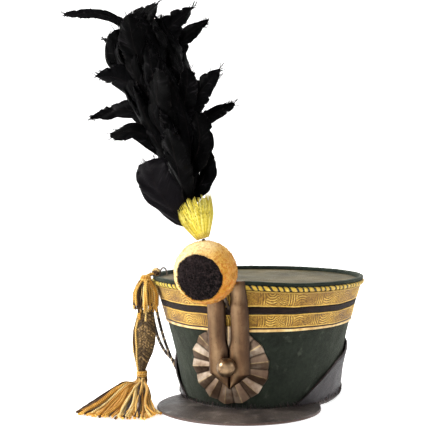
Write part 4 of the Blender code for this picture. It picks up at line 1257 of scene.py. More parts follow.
# each bar's section is convex, lift = (1 - |2 s - 1|^2.2)^0.6; the outer edges meet in a point at the foot
def makeLoop():
    s = barSizes
    centreZ = cockadeSizes["z"]
    top = hat["height"] + s["topRise"]
    point, shoulder = centreZ - s["pointDrop"], centreZ - s["shoulderDrop"]
    gapFoot = centreZ + s["gapFoot"]
    pointed = np.linspace(point, shoulder, s["pointRows"])[:-1]
    height = np.concatenate([pointed, np.linspace(shoulder, top, s["rows"])])[:, None]
    centre = s["x"] + (height - centreZ) * math.tan(s["lean"])
    fullGap = s["gap"] / 2
    halfGap = 0.75 * fullGap * smooth(gapFoot - 0.001, gapFoot + 0.012, height) + 0.00012
    outer = fullGap + s["width"]
    outer = np.where(height < shoulder, outer * (height - point) / (shoulder - point), outer)
    outer = np.maximum(outer, s["tip"])
    bent = np.clip((height - s["bend"][1]) / (s["bend"][0] - s["bend"][1]), 0, 1)
    back = s["back"] + (s["topBack"] - s["back"]) * smooth(0, 1, bent)
    across = 0.5 - 0.5 * np.cos(np.linspace(0, math.pi, s["cols"]))[None]
    bulge = np.clip(1 - np.abs(2 * across - 1) ** 2.2, 0, 1) ** 0.6
    ending = smooth(0, 0.004, top - height) * 0.25 + 0.75
    taper = np.clip((height - point) / (shoulder - point), 0, 1) ** 0.4 * 0.45 + 0.55
    dent = waves(together(across * 0.02, height), 0.02, 81) * s["dent"]
    parts = []
    for side in (-1, 1):
        drawn = smooth(0.100, top, height) * s["narrow"] * (side > 0)
        x = centre + side * (halfGap + (outer - drawn - halfGap) * across)
        lift = s["depth"] * (0.12 + 0.88 * bulge) * ending * taper + dent
        front = together(x, faceY(height, back + lift), height)
        rear = together(x, faceY(height, back), height)
        marks = {"right": folded((across if side > 0 else 1 - across) + 0 * height)}
        parts.append(surface(f"bar{side}", folded(front, rear), marks=marks, crease=50))
    look = brassLook("brownBrass", (70, 50, 36), (104, 78, 56), (150, 122, 90), 0.24)
    dress(joined("loop_bars", parts), look, "aged_brass", "loop")


# a place whose Z axis points forward and up, square to the hat's front
def leaning(point):
    return np.array(Matrix.Translation(point) @ Matrix.Rotation(math.pi / 2 + hat["frontLean"], 4, "X"))


def placed(local, place):
    return local @ place[:3, :3].T + place[:3, 3]


# a profile (radius, along) turned round the Z axis of a place
def turned(name, profile, steps, place, relief=None, marks=None, crease=None):
    radius, along = np.array(profile).T[..., None]
    local = roundOf(turnsOf(steps)[None], radius, along)
    if relief is not None:
        local = relief(local)
    return surface(name, placed(local, place), marks=marks, crease=crease)


# the mark of a place between a bar's lit middle and its shaded side
def plain(rows, cols):
    return {"right": np.full((rows, cols), 0.36)}


ballSizes = {
    "radius": 0.0094,
    "flat": 0.0046,
    "rows": 48,
    "cols": 72,
}


# a ball cut flat where it meets the bars
def makeBall():
    s = ballSizes
    start = math.asin(s["flat"] / s["radius"])
    angle = np.linspace(-start, math.pi / 2 - 0.02, s["rows"])
    offset = barSizes["back"] + barSizes["depth"] + hat["gap"] + s["flat"] / math.cos(hat["frontLean"])
    height = cockadeSizes["z"]
    place = leaning((barSizes["x"], faceY(height, offset), height))
    profile = s["radius"] * np.stack([np.cos(angle), np.sin(angle)], -1)
    ball = turned("ball_head", profile, s["cols"], place, marks=plain(s["rows"], s["cols"]), crease=60)
    look = brassLook("ballBrass", (40, 29, 22), (92, 70, 50), (150, 124, 94), 0.12)
    dress(ball, look, "aged_brass", "ball_button")


catchSizes = {
    "turn": math.radians(56),
    "offset": 0.0016,
    "half": 0.0053,
    "squat": 0.9,
    "power": 0.45,
    "cols": 64,
    # height off the lace and share of the outline, row by row
    "rows": ((0.0, 1.0), (0.0018, 1.0), (0.0026, 0.93), (0.0031, 0.80), (0.0032, 0.55), (0.0031, 0.2)),
}


# a rounded block: a squircle outline carried out from the lace and rolled over at its face
def makeCatch():
    s = catchSizes
    low, high = (np.array(corner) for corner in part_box("line_catch"))
    middle, turn = (low[2] + high[2]) / 2, s["turn"]
    spot = wall(turn, middle, s["offset"])
    onward = wall(turn + 0.01, middle) - wall(turn, middle)
    out = unit(np.cross(wall(turn, middle + 0.001) - wall(turn, middle), onward))
    side = unit(onward)
    up = np.cross(side, out)
    angle = turnsOf(s["cols"])
    swings = np.stack([np.cos(angle), np.sin(angle)])
    wide, tall = np.sign(swings) * np.abs(swings) ** s["power"] * s["half"]
    square = wide[:, None] * side + tall[:, None] * s["squat"] * up
    grid = np.stack([spot + out * lift + square * share for lift, share in s["rows"]])
    block = surface("line_catch_plate", grid, marks=plain(len(s["rows"]), s["cols"]), crease=60)
    dress(block, bpy.data.materials["brownBrass"], "aged_brass", "line_catch")


makeCockade()
makeLoop()
makeBall()
makeCatch()
print("brass made")


# Pompom: felted wool with a dark face sunk into its front

pom = {
    "centre": (-0.0058, -0.1679, 0.1445),
    "radius": 0.0296,
    "faceRadius": 0.0218,
    "plane": 0.017325,
    "recess": 0.0024,
    "faceThick": 0.0050,
    "inset": 0.0003,
    "lumps": ((0.016, 91, 0.00045), (0.005, 92, 0.00032)),  # pitch, seed, depth
    "rows": 90,
    "cols": 160,
    "fuzz": 4200,
    "fuzzRadii": (0.00021, 0.00017, 0.00005),
    "fuzzLength": (0.0012, 0.0030),
    "faceLumps": ((0.009, 95, 0.00035), (0.003, 96, 0.0003)),
    "faceRows": 60,
    "faceCols": 150,
    "pile": 2600,
    "pileRadii": (0.00022, 0.00018, 0.00005),
    "pileLength": (0.0008, 0.0022),
}


def woolLook(name, dark, mid, light, fleck, flecks, sheen):
    look = Look(name, {"Sheen Weight": sheen, "Sheen Roughness": 0.4, "Specular IOR Level": 0.1})
    cloud = look.noise(45.0, 5, 0.6)
    fibre = look.noise(700.0, 4, 0.7, stretch=2.0)
    place = look.parts(look.place())
    # painted light: the wool is lighter towards its top and left, and has fewer specks there
    side = (place[2] - place[0] * 1.2).between(0.115, 0.190)
    tone = cloud * 0.35 + fibre * 0.50 + side * 0.30
    colour = look.ramp(tone, (0.38, *dark), (0.56, *mid), (0.76, *light))
    speck = look.noise(430.0, 2, 0.6).between(0.50, 0.60) * (1 - side * 0.6)
    look.give("Base Color", look.mix(speck * flecks, colour, fleck))
    look.give("Roughness", fibre * 0.15 + 0.82)
    look.bump(fibre * 0.9 + look.noise(180.0, 4) * 1.2, 0.0009)
    return look.material


# the hole's outline wanders a little with the angle
def ragged(local):
    turn = np.arctan2(local[..., 1], local[..., 0])
    stray = 0.018 * np.sin(3 * turn + 1) + 0.014 * np.sin(7 * turn + 2) + 0.010 * np.sin(16 * turn) - 0.012
    return stray[..., None]


# a lumpy ball, cut by a plane and sunk behind it, with fibres that lean any way along its skin
def makePompom():
    s = pom
    place = leaning(s["centre"])
    stop = math.asin(s["plane"] / s["radius"])
    angle = np.linspace(-math.pi / 2 + 0.02, stop, s["rows"])
    body = s["radius"] * np.stack([np.cos(angle), np.sin(angle)], -1)
    lip = s["radius"] * math.cos(stop)
    hole, plane, sunk = s["faceRadius"] + hat["gap"], s["plane"], s["plane"] - s["recess"]
    inward = [
        (lip * 0.985, plane + 0.0006),
        ((lip + hole) / 2, plane + 0.0008),
        (hole, plane + 0.0002),
        (hole * 0.99, plane - s["recess"] * 0.6),
        (hole * 0.96, sunk),
        (hole * 0.5, sunk),
        (0.0004, sunk),
    ]

    def rough(local):
        grown = local + unit(local) * (dents(local, s["lumps"]) - s["inset"])[..., None]
        near = smooth(s["plane"] - 0.004, s["plane"], local[..., 2])[..., None] * [1, 1, 0]
        return grown * (1 + near * ragged(local))

    ball = turned("pompom_wool", np.concatenate([body, inward]), s["cols"], place, rough)
    look = woolLook("yellowWool", (182, 122, 36), (234, 184, 90), (255, 234, 176), (192, 104, 30), 0.78, 0.15)
    dress(ball, look, "yellow_wool", "pompom")
    draw = np.random.default_rng(93)
    away = unit(draw.normal(size=(s["fuzz"], 3)))
    away = away[away[:, 2] < 0.5]
    start = away * (s["radius"] - 0.0010)
    drift = unit(np.cross(away, unit(draw.normal(size=away.shape))))
    length = draw.uniform(*s["fuzzLength"], (len(away), 1))
    middle = start + away * length * 0.45 + drift * length * 0.5
    ends = np.stack([start, middle, start + away * length * 0.55 + drift * length], 1)
    fuzz = tubes("pompom_fuzz", placed(ends, place), np.array([s["fuzzRadii"]]), 3)
    dress(fuzz, look, "yellow_wool")


# a low dome, lift = base + thick (0.45 + 0.55 (1 - r^3)), under a pile that leans outwards near its edge
def makePompomFace():
    s = pom
    place = leaning(s["centre"])
    base = s["plane"] - s["recess"] + hat["gap"]
    share = np.concatenate([[0.5], 1 - np.linspace(0, 1, s["faceRows"]) ** 3 * 0.999])
    lift = base + s["faceThick"] * (0.45 + 0.55 * (1 - share**3))
    lift[0] = base

    def rough(local):
        outer = smooth(0.6, 1.0, np.hypot(local[..., 0], local[..., 1]) / s["faceRadius"])
        grown = local * (1 + outer[..., None] * [1, 1, 0] * (ragged(local) - 0.004))
        grown[..., 2] += np.where(local[..., 2] > base + 0.0005, dents(local, s["faceLumps"]) - s["inset"], 0)
        return grown

    profile = np.stack([s["faceRadius"] * share, lift], -1)
    face = turned("pompom_dark_face", profile, s["faceCols"], place, rough)
    look = woolLook("blackWool", (6, 4, 5), (24, 17, 19), (54, 43, 44), (92, 76, 74), 0.5, 0.06)
    dress(face, look, "black_wool", "pompom_face")
    draw = np.random.default_rng(97)
    count = s["pile"]
    reach = s["faceRadius"] * np.sqrt(draw.uniform(0, 1, count)) * 1.01
    out = roundOf(draw.uniform(0, 2 * math.pi, count), 1.0)
    top = base + s["faceThick"] * (0.40 + 0.55 * (1 - (reach / s["faceRadius"] / 1.01) ** 3))
    start = out * reach[:, None] + np.array([0, 0, 1.0]) * top[:, None]
    outward = out * (reach / s["faceRadius"])[:, None] ** 2 * 0.9
    lean = unit(outward + draw.normal(0, 0.35, (count, 3)) + [0, 0, 0.8])
    length = draw.uniform(*s["pileLength"], (count, 1))
    paths = np.stack([start - lean * 0.0004, start + lean * length * 0.5, start + lean * length], 1)
    pile = tubes("pompom_face_pile", placed(paths, place), np.array([s["pileRadii"]]), 3)
    dress(pile, look, "black_wool")


makePompom()
makePompomFace()
print("pompom made")


# Feathers: a short yellow cuff, then the black plume

cuff = {
    "foot": (-0.0094, -0.1646, 0.1757),
    "axis": (-0.2924, 0.0, 0.9563),
    "side": (0.9563, 0.0, 0.2924),
    "length": 0.0370,
    "flat": 0.80,
    "shares": (0.0, 0.08, 0.30, 0.50, 0.93, 1.05),
    "radii": (0.0058, 0.0077, 0.0118, 0.0149, 0.0178, 0.0184),
    "rows": 30,
    "cols": 90,
    "ripple": 0.0005,
    "inset": 0.0006,
    "wall": 0.0020,
    "plain": 0.25,  # the tone of the cone under the barbs
    "barbs": 1000,
    "barb": 0.00075,
    "barbSteps": 5,
    "tones": ((176, 150, 34), (232, 208, 62), (246, 228, 92), (250, 238, 136)),
}


# a point of the cuff's oval section at a share of its length
def cuffPoint(turn, share, extra=0.0):
    turn, share, extra = np.broadcast_arrays(turn, share, extra)
    radius = np.interp(share, cuff["shares"], cuff["radii"]) + extra
    across = np.array(cuff["side"]) * np.cos(turn)[..., None]
    across = across + np.array([0, cuff["flat"], 0]) * np.sin(turn)[..., None]
    along = np.array(cuff["axis"]) * (cuff["length"] * share)[..., None]
    return cuff["foot"] + along + across * radius[..., None]


# flat barbs of uneven length over a rippled cone: half width = barb sin(pi (0.15 + 0.8 t))^0.6
def makeCuff():
    s = cuff
    turns = turnsOf(s["cols"])[None]
    share = np.linspace(0, 0.80, s["rows"])[:, None]
    ripple = waves(roundOf(turns, 0.015, share * 0.01), 0.006, 101) * s["ripple"]
    outer = cuffPoint(turns, share, ripple - s["inset"])
    inner = cuffPoint(turns, share[::-1][:-6], -s["wall"])
    cone = surface("cuff_base", np.concatenate([outer, inner]))
    evenMark(cone, "tone", s["plain"])
    draw = np.random.default_rng(102)
    count = s["barbs"]
    turn = draw.uniform(0, 2 * math.pi, count)
    begin = draw.uniform(0.0, 0.5, count) ** 2.0
    finish = np.clip(begin + draw.uniform(0.45, 0.95, count), 0.55, 1.0) + draw.uniform(-0.02, 0.06, count)
    finish -= 0.20 * np.maximum(0, -np.cos(turn) + 0.2)
    t = np.linspace(0, 1, s["barbSteps"])[None]
    along = begin[:, None] + (finish - begin)[:, None] * t
    swing = turn[:, None] + draw.normal(0, 0.06, (count, 1)) * t + draw.normal(0, 0.03, (count, 1)) * t**2
    proud = 0.0002 + draw.uniform(0, 0.0012, (count, 1)) * t**1.5
    paths = cuffPoint(swing, along, proud)
    across = np.cross(unit(np.gradient(paths, axis=1)), unit(paths - paths.mean((0, 1))))
    radii = s["barb"] * np.sin(math.pi * (0.15 + 0.80 * t)) ** 0.6 * draw.uniform(0.6, 1.2, (count, 1))
    marks = {"tone": draw.uniform(0, 1, count)}
    barbs = tubes("cuff_feathers", paths, radii, 4, flat=0.25, across=across, marks=marks)
    look = threadLook("yellowBarb", s["tones"], 0.004, 1.0, 0.1)
    dress(joined("cuff_feathers", [barbs, cone]), look, "yellow_feather", "feather_cuff")


plumeSizes = {
    "width": 0.150,
    "depth": 0.100,
    "height": 0.190,
    "lift": 0.0012,
    "spine": (  # side, rise, half width, half depth
        (-0.038, 0.034, 0.093, 0.12),
        (-0.078, 0.194, 0.140, 0.24),
        (-0.178, 0.446, 0.227, 0.30),
        (-0.278, 0.683, 0.253, 0.28),
        (-0.318, 0.857, 0.180, 0.20),
        (-0.318, 0.936, 0.060, 0.08),
    ),
    # rise of the root, side and rise of the middle, the same of the tip, depths of both, then width,
    # roundness, curl and tone; a high tone lightens a feather, and the highest, on the broad low feather, is
    # painted light
    "feathers": (
        (0.80, -0.560, 0.915, -0.835, 0.928, -0.08, -0.12, 0.062, 0.9, 0.4, 0.6),
        (0.70, -0.508, 0.783, -0.633, 0.812, 0.05, 0.08, 0.052, 0.3, 0.3, 0.3),
        (0.56, -0.368, 0.815, -0.192, 0.955, -0.12, -0.10, 0.215, 0.1, 0.3, 0.1),
        (0.52, -0.160, 0.815, 0.005, 0.945, -0.02, 0.05, 0.165, 0.0, 0.6, 0.6),
        (0.50, -0.120, 0.765, 0.067, 0.895, 0.14, 0.20, 0.125, 0.0, 0.5, 0.2),
        (0.48, -0.442, 0.694, -0.470, 0.835, -0.05, -0.12, 0.215, 0.4, 0.2, 0.3),
        (0.36, -0.390, 0.575, -0.575, 0.602, -0.20, -0.26, 0.185, 0.0, 0.5, 0.7),
        (0.30, -0.415, 0.445, -0.670, 0.400, -0.02, -0.04, 0.125, 0.0, 0.6, 0.6),
        (0.16, -0.279, 0.321, -0.465, 0.318, -0.22, -0.28, 0.120, 0.9, 0.3, 0.4),
        (-0.14, -0.160, 0.045, -0.215, 0.180, -0.24, -0.26, 0.250, 1.0, 0.1, 1.0),
        (0.28, 0.061, 0.499, 0.212, 0.625, -0.10, -0.12, 0.150, 0.0, 0.3, 0.6),
        (0.30, 0.005, 0.489, 0.030, 0.620, -0.18, -0.24, 0.130, 0.7, 0.1, 0.3),
        (0.28, 0.093, 0.405, 0.249, 0.470, 0.08, 0.14, 0.095, 0.4, 0.3, 0.3),
        (0.08, 0.088, 0.264, 0.082, 0.420, -0.16, -0.22, 0.165, 0.4, 0.2, 0.2),
        (-0.04, 0.074, 0.115, 0.078, 0.250, 0.04, 0.02, 0.135, 0.9, 0.3, 0.5),
        (-0.04, -0.028, 0.153, -0.051, 0.336, -0.26, -0.42, 0.190, 0.3, 0.2, 0.2),
        (0.22, -0.141, 0.443, -0.089, 0.604, -0.30, -0.50, 0.190, 0.9, 0.1, 0.1),
        (0.48, -0.295, 0.705, -0.304, 0.873, -0.26, -0.42, 0.190, 0.3, 0.2, 0.2),
        (-0.04, -0.088, 0.137, -0.185, 0.304, 0.26, 0.42, 0.213, 0.4, 0.2, 0.3),
        (0.20, -0.153, 0.411, -0.187, 0.578, 0.32, 0.50, 0.213, 0.4, 0.3, 0.4),
        (0.28, -0.311, 0.526, -0.435, 0.694, 0.24, 0.40, 0.200, 0.3, 0.3, 0.2),
        (0.50, -0.257, 0.726, -0.301, 0.904, 0.24, 0.40, 0.200, 0.3, 0.2, 0.4),
    ),
    "pointed": ((0, 0.1, 0.25, 0.5, 0.75, 0.9, 1), (0.30, 0.62, 0.90, 1.0, 0.74, 0.38, 0.05)),
    "rounded": ((0, 0.1, 0.25, 0.5, 0.75, 0.9, 1), (0.42, 0.74, 0.93, 1.0, 0.97, 0.78, 0.25)),
    "fill": 46,
    "rows": 61,
    "cols": 13,
    "splits": (3, 8),
    "splitDepth": (0.05, 0.42),
    "splitWidth": (0.007, 0.020),
    "splitStep": 0.0009,
    "edge": 0.00004,  # a vane's half thickness at its edges, and what its middle adds
    "thick": 0.00022,
    "wisps": 30,
    "wispLength": (0.0020, 0.0085),
    "wispRadii": (0.00042, 0.00034, 0.00010),
    "wispTone": 0.8,
    "quillRadii": (0.0006, 0.00015),
    "quillTone": 0.9,
}


def plumePoint(side, depth, rise):
    s = plumeSizes
    foot = np.array(cuff["foot"]) + np.array(cuff["axis"]) * (cuff["length"] + s["lift"])
    return foot + together(s["width"] * side, s["depth"] * depth, s["height"] * rise)


# a point of the bundle's oval section at a rise, grown or shrunk
def spinePoint(rise, turn, grow):
    sides, rises, widths, depths = np.array(plumeSizes["spine"]).T
    side = np.interp(rise, rises, sides) + grow * np.interp(rise, rises, widths) * math.cos(turn)
    return plumePoint(side, grow * np.interp(rise, rises, depths) * math.sin(turn), rise)


# a vane is a thin sheet: half width W(s), its edges swept forward by 0.9 |w| W, cupped by a share of w^2 W,
# cut by splits and frayed by wisps that start from its edges
def makeVane(root, middle, tip, width, roundness, curl, face, draw):
    s = plumeSizes
    line = smoothPath(np.stack([root, middle, tip]), 20)
    run = runLength(line)
    share = np.linspace(0, 1, s["rows"])
    quill = np.stack([np.interp(share * run[-1], run, line[:, k]) for k in range(3)], -1)
    tangent = unit(np.gradient(quill, axis=0))
    across = unit(np.cross(tangent, face))
    normal = np.cross(across, tangent)
    lean = (draw.normal(0, 0.22) + draw.choice([-1, 1]) * curl * share**2)[:, None]
    across = across * np.cos(lean) + normal * np.sin(lean)
    normal = np.cross(across, tangent)
    shape = np.interp(share, *s["pointed"]) * (1 - roundness) + np.interp(share, *s["rounded"]) * roundness
    half = (s["width"] * width / 2 * shape)[:, None]
    along = share[:, None]
    w = np.linspace(-1, 1, s["cols"])[None]
    cut, step = np.ones((s["rows"], 2)), np.zeros((s["rows"], 2))
    for side in (0, 1):
        at = draw.uniform(0.30, 1.0, draw.integers(*s["splits"]))
        deep = draw.uniform(*s["splitDepth"], len(at)) * (1 - 0.6 * roundness) * (0.5 + 0.5 * at)
        thin = draw.uniform(*s["splitWidth"], len(at))
        cut[:, side] -= (deep * np.exp(-(((along - at) / thin) ** 2))).sum(1)
        step[:, side] = (draw.normal(0, s["splitStep"], len(at)) * smooth(at, at + 0.012, along)).sum(1)
    left, size = w < 0, np.abs(w)
    edge = np.clip(np.where(left, cut[:, :1], cut[:, 1:]), 0.35, 1)
    flutter = 0.05 * np.sin(along * draw.uniform(14, 30) + draw.uniform(0, 6)) * size
    swept = size * half * 0.9 * (1 - 0.5 * along**4)
    rise = np.where(left, step[:, :1], step[:, 1:]) * size - half * w**2 * (0.26 + 0.3 * curl * along)
    rise = rise + half * 0.05 * np.sin(along * 21 + 5 * w)
    sheet = quill[:, None] + across[:, None] * (w * half * (edge + flutter))[..., None]
    sheet = sheet + tangent[:, None] * swept[..., None] + normal[:, None] * rise[..., None]
    thick = normal[:, None] * (s["edge"] + s["thick"] * (1 - w**4))[..., None]
    grid = folded(sheet + thick, sheet - thick)
    spread = np.broadcast_to(folded(w), grid.shape[:2])
    start = 1 - 0.72 * draw.uniform(0, 1, s["wisps"]) ** 1.8
    row = np.round(start * (s["rows"] - 1)).astype(int)
    hand = draw.choice([-1, 1], s["wisps"])
    begin = sheet[row, np.where(hand < 0, 1, -2)]
    way = unit(tangent[row] + across[row] * hand[:, None] * 0.40 + draw.normal(0, 0.20, (s["wisps"], 3)))
    reach = draw.uniform(*s["wispLength"], (s["wisps"], 1)) * (0.35 + 0.65 * start[:, None] ** 3)
    ends = np.stack([begin, begin + way * reach * 0.6, begin + (way - normal[row] * 0.35) * reach], 1)
    return grid, spread, np.broadcast_to(along * run[-1], grid.shape[:2]), ends, quill


def featherLook():
    look = Look("blackFeather", {"Specular IOR Level": 0.024})
    tone, across, along = look.mark("tone"), look.mark("across"), look.mark("along")

    def grain(fine, wide, apart, detail, rough):
        return look.noise(1.0, detail, rough, at=look.vector(along * fine, across * wide, tone * apart))

    barb, broad = grain(1100.0, 1.1, 40.0, 3, 0.6), grain(160.0, 1.5, 17.0, 2, 0.5)
    shade = tone * 0.55 + barb * 0.30 + broad * 0.15
    dull = look.ramp(shade, (0.20, 1, 1, 1), (0.58, 2, 2, 3), (0.90, 17, 15, 18))
    # painted highlights: sparse light streaks along the barbs
    streak = grain(300.0, 0.8, 90.0, 2, 0.6).between(0.58, 0.74)
    colour = look.mix(streak * 0.4, dull, (46, 43, 46))
    worn = across.size().between(0.88, 1.0) * broad.between(0.50, 0.66) * 0.15
    shaft = (1 - across.size().between(0.0, 0.09)) * 0.20
    edged = look.mix(worn, colour, (76, 69, 66))
    look.give("Base Color", look.mix(shaft, edged, (34, 28, 27)))
    look.give("Roughness", barb * 0.25 + 0.26)
    look.bump(barb * 0.7 + broad * 0.5, 0.0007)
    return look.material


# the vanes that the photo's outline shows, then the fill between them, turned on by 2.4 radians each
def plumeVanes():
    s = plumeSizes
    draw = np.random.default_rng(111)
    ahead = np.array([0.0, -1.0, 0.0])
    shown, filled = [], []
    for root, midSide, midRise, tipSide, tipRise, midDepth, tipDepth, *sizes, tone in s["feathers"]:
        ends = plumePoint(midSide, midDepth, midRise), plumePoint(tipSide, tipDepth, tipRise)
        face = ahead if midDepth < 0.15 else -ahead
        shown.append((*makeVane(spinePoint(root, 0.0, 0.0), *ends, *sizes, face, draw), tone))
    for k in range(s["fill"]):
        turn, rise = 2.4 * k, 0.78 * (k / s["fill"]) - 0.06
        over = min(rise + draw.uniform(0.42, 0.60), 0.90)
        start = spinePoint(rise, turn, 0.25)
        ends = spinePoint((rise + over) / 2, turn, 0.90), spinePoint(over, turn + draw.normal(0, 0.3), 1.0)
        face = np.array([math.cos(turn), math.sin(turn), 0.15])
        sizes = draw.uniform(0.10, 0.145), draw.uniform(0.0, 0.3), draw.uniform(0.2, 0.8)
        filled.append((*makeVane(start, *ends, *sizes, face, draw), draw.uniform(0, 0.55)))
    return shown, filled


# the core is an oval tube along the spine, half as thick as the bundle
def makeCore(look):
    sides, rises, widths, depths = np.array(plumeSizes["spine"]).T
    turns = turnsOf(48)
    spine = smoothPath(np.stack([sides, rises, 0.5 * widths], -1), 8)
    deep = smoothPath(np.stack([sides, rises, 0.5 * depths], -1), 8)[:, 2]
    side, rise, half = (spine[:, k:k + 1] for k in range(3))
    grid = plumePoint(side + half * np.cos(turns), deep[:, None] * np.sin(turns), rise)
    core = surface("plume_core", grid, marks={"tone": 0 * grid[..., 0], "across": 0 * grid[..., 0] + 0.5})
    dress(core, look, "black_feather")


# each group of vanes in one mesh, then all their wisps, all their shafts and the core
def makePlume():
    s = plumeSizes
    look = featherLook()
    shown, filled = plumeVanes()
    wisps, quills = [], []
    for name, group in (("plume_feathers", shown), ("plume_underfeathers", filled)):
        grids, across, along, ends, lines = (np.stack([made[k] for made in group]) for k in range(5))
        if group is filled:
            grids, across, along = (held[:, ::2, ::2] for held in (grids, across, along))
        tone = np.broadcast_to(np.array([made[5] for made in group])[:, None, None], across.shape)
        vanes = lofts(name, grids, along[:, :, 0], {"tone": tone, "across": across, "along": along})
        dress(vanes, look, "black_feather", *(("plume",) if group is shown else ()))
        wisps.append(ends.reshape(-1, 3, 3))
        quills.append(lines[:, ::3])
    wisps, quills = np.concatenate(wisps), np.concatenate(quills)
    marks = {"tone": np.full(len(wisps), s["wispTone"]), "across": np.full(len(wisps), 0.9)}
    dress(tubes("plume_wisps", wisps, np.array([s["wispRadii"]]), 3, marks=marks), look, "black_feather")
    thin = np.linspace(*s["quillRadii"], quills.shape[1])[None]
    shafts = tubes("plume_quills", quills, thin, 5, marks={"tone": np.full(len(quills), s["quillTone"])})
    dress(shafts, look, "black_feather")
    makeCore(look)


makeCuff()
makePlume()
print("feathers made")


# The cap line's hook, knot, tassels and flounder

hookSizes = {
    "wire": 0.0008,
    "inset": 0.0009,  # from the solid's sides and crest to the wire's middle
    "rise": 0.0005,
    "steps": 40,
    "sides": 10,
}


def ironLook():
    look = Look("darkIron", {"Metallic": 0.85})
    look.give("Base Color", look.ramp(look.noise(300.0, 4), (0.4, 52, 46, 42), (0.65, 112, 100, 90)))
    look.give("Roughness", look.noise(500.0, 3) * 0.3 + 0.35)
    look.bump(look.noise(900.0, 3), 0.0002)
    return look.material


# half an oval that fills the solid's box; its iron goes on the plume's post too
def makeHook():
    s = hookSizes
    low, high = (np.array(corner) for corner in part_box("line_hook"))
    middle, half = (low + high) / 2, (high - low) / 2
    turn = np.linspace(0, math.pi, s["steps"])
    crest = high[2] - low[2] - s["inset"] - s["rise"]
    across = middle[0] + (half[0] - s["inset"]) * np.cos(turn)
    path = together(across, middle[1], low[2] + s["rise"] + crest * np.sin(turn))
    wire = tubes("hook_wire", path[None], s["wire"], s["sides"])
    iron = ironLook()
    dress(wire, iron, "iron_wire", "line_hook")
    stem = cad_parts["plume_stem"]
    stem.data.materials.clear()
    stem.data.materials.append(iron)


knotSizes = {
    "at": (-0.0923, -0.0740, 0.1346),
    "radius": 0.0048,
    "cord": 0.00145,
    "plies": 3,
    "groove": 0.2,
    "lay": 0.009,
    "steps": 60,
    "sides": 10,
    # tilt, roll, size and tone of each loop
    "loops": ((0.3, 0.0, 0.70, 0.15), (1.2, 0.9, 0.66, 0.75), (2.0, 2.1, 0.62, 0.3), (0.9, 3.4, 0.72, 0.95)),
    "tones": ((44, 32, 24), (92, 66, 42), (190, 144, 78), (232, 200, 140)),
}


# four loops of cord wound over a ball, each tilted another way: (cos t, sin t, 0.25 sin 2t)
def makeKnot():
    s = knotSizes
    turn = np.linspace(0, 2 * math.pi, s["steps"])
    loops, tones = [], []
    for tilt, roll, grow, tone in s["loops"]:
        ring = roundOf(turn, 1.0, 0.25 * np.sin(2 * turn)) * s["radius"] * grow
        spin = np.array(Matrix.Rotation(roll, 3, "Z") @ Matrix.Rotation(tilt, 3, "X"))
        loops.append(np.array(s["at"]) + ring @ spin.T)
        tones.append(tone)
    knot = tubes("cap_line_knot", np.stack(loops), s["cord"], s["sides"], lobes=s["plies"], depth=s["groove"],
                 pitch=s["lay"], marks={"tone": tones})
    dress(knot, threadLook("darkThread", s["tones"], s["lay"], 3.0), "line_cord", "line_knot")


# most threads are gold, and a share of them dark
def threadTones(draw, count, dark):
    tone = draw.uniform(0.38, 1.0, count)
    return np.where(draw.uniform(0, 1, count) < dark, draw.uniform(0.0, 0.25, count), tone)


tasselSizes = {
    "hang": (-0.1002, -0.0840, 0.1300),
    "drop": 0.0020,
    "length": 0.034,
    "spread": 0.0128,
    "threads": 84,
    "thread": 0.00128,
    "longCount": 5,
    "longFall": 1.22,
    "rings": ((0.18, 0.02), (0.56, 0.10), (1.02, 0.48), (1.06, 1.0)),  # of the spread and the length
    "wobble": 0.0009,
    "dark": 0.16,
    "shade": 0.08,  # the tone of many threads at the far left
    "headTones": (0.7, 0.5, 0.8, 0.3, 0.75, 0.6),
    "headCord": 0.00105,
    "headRadius": 0.0030,
    "headSwell": 0.0026,
    "headStep": 0.0017,
    "neckTones": (0.6, 0.2, 0.8),
    "neckCord": 0.00115,
    "neckApart": ((0.0009, 0, 0), (-0.0009, 0.0004, 0), (0, -0.0008, 0.0004)),
}


# threads leave a small head, swell out and hang; each path is a curve through four rings
def makeUpperTassel(material):
    s = tasselSizes
    draw = np.random.default_rng(121)
    count = s["threads"]
    top = np.array(s["hang"]) - [0, 0, s["drop"]]
    turn = draw.uniform(0, 2 * math.pi, count)
    out = roundOf(turn, 1.0)[:, None]
    spread = draw.uniform(0.15, 1.0, (count, 1, 1)) ** 0.6
    fall = draw.uniform(0.74, 1.0, (count, 1, 1))
    fall[:s["longCount"]] = s["longFall"]
    rings = []
    for radius, drop in s["rings"]:
        wobble = draw.normal(0, s["wobble"], (count, 1, 3)) * (drop > 0.1)
        aside = out * radius * s["spread"] * spread + wobble
        rings.append(top + aside - np.array([0, 0, 1]) * s["length"] * drop * fall)
    paths = smoothPath(np.concatenate(rings, 1), 7)
    across = np.repeat(out, paths.shape[1], 1)
    radii = s["thread"] * draw.uniform(0.7, 1.15, (count, 1)) * np.linspace(1.0, 0.85, paths.shape[1])
    tone = threadTones(draw, count, s["dark"])
    tone = np.where((np.cos(turn) < -0.2) & (draw.uniform(0, 1, count) < 0.45), s["shade"], tone)
    threads = plied("upper_tassel_threads", paths, radii, tone, 0.25, 0.0052, across=across)
    rounds = np.linspace(0, 2 * math.pi, 40)
    wound = []
    for k in range(len(s["headTones"])):
        radius = s["headRadius"] + s["headSwell"] * math.sin(math.pi * (k + 0.8) / 7)
        wound.append(top + roundOf(rounds, radius, s["headRadius"] - s["headStep"] * k))
    head = plied("upper_tassel_head", np.stack(wound), s["headCord"], s["headTones"], 0.2, 0.005)
    reach = np.array(knotSizes["at"]) - top
    bent = top + reach * 0.55 + [0, 0, 0.0012]
    stops = [top - [0, 0, 0.004], top + [0.001, 0.001, 0.003], bent, top + reach * 0.8]
    neckPath = smoothPath(np.stack(stops), 10)
    necks = np.stack([neckPath + apart for apart in s["neckApart"]])
    neck = plied("upper_tassel_neck", necks, s["neckCord"], s["neckTones"], 0.2, 0.005)
    dress(joined("upper_tassel_threads", [threads, head, neck]), material, "gold_fringe", "upper_tassel")


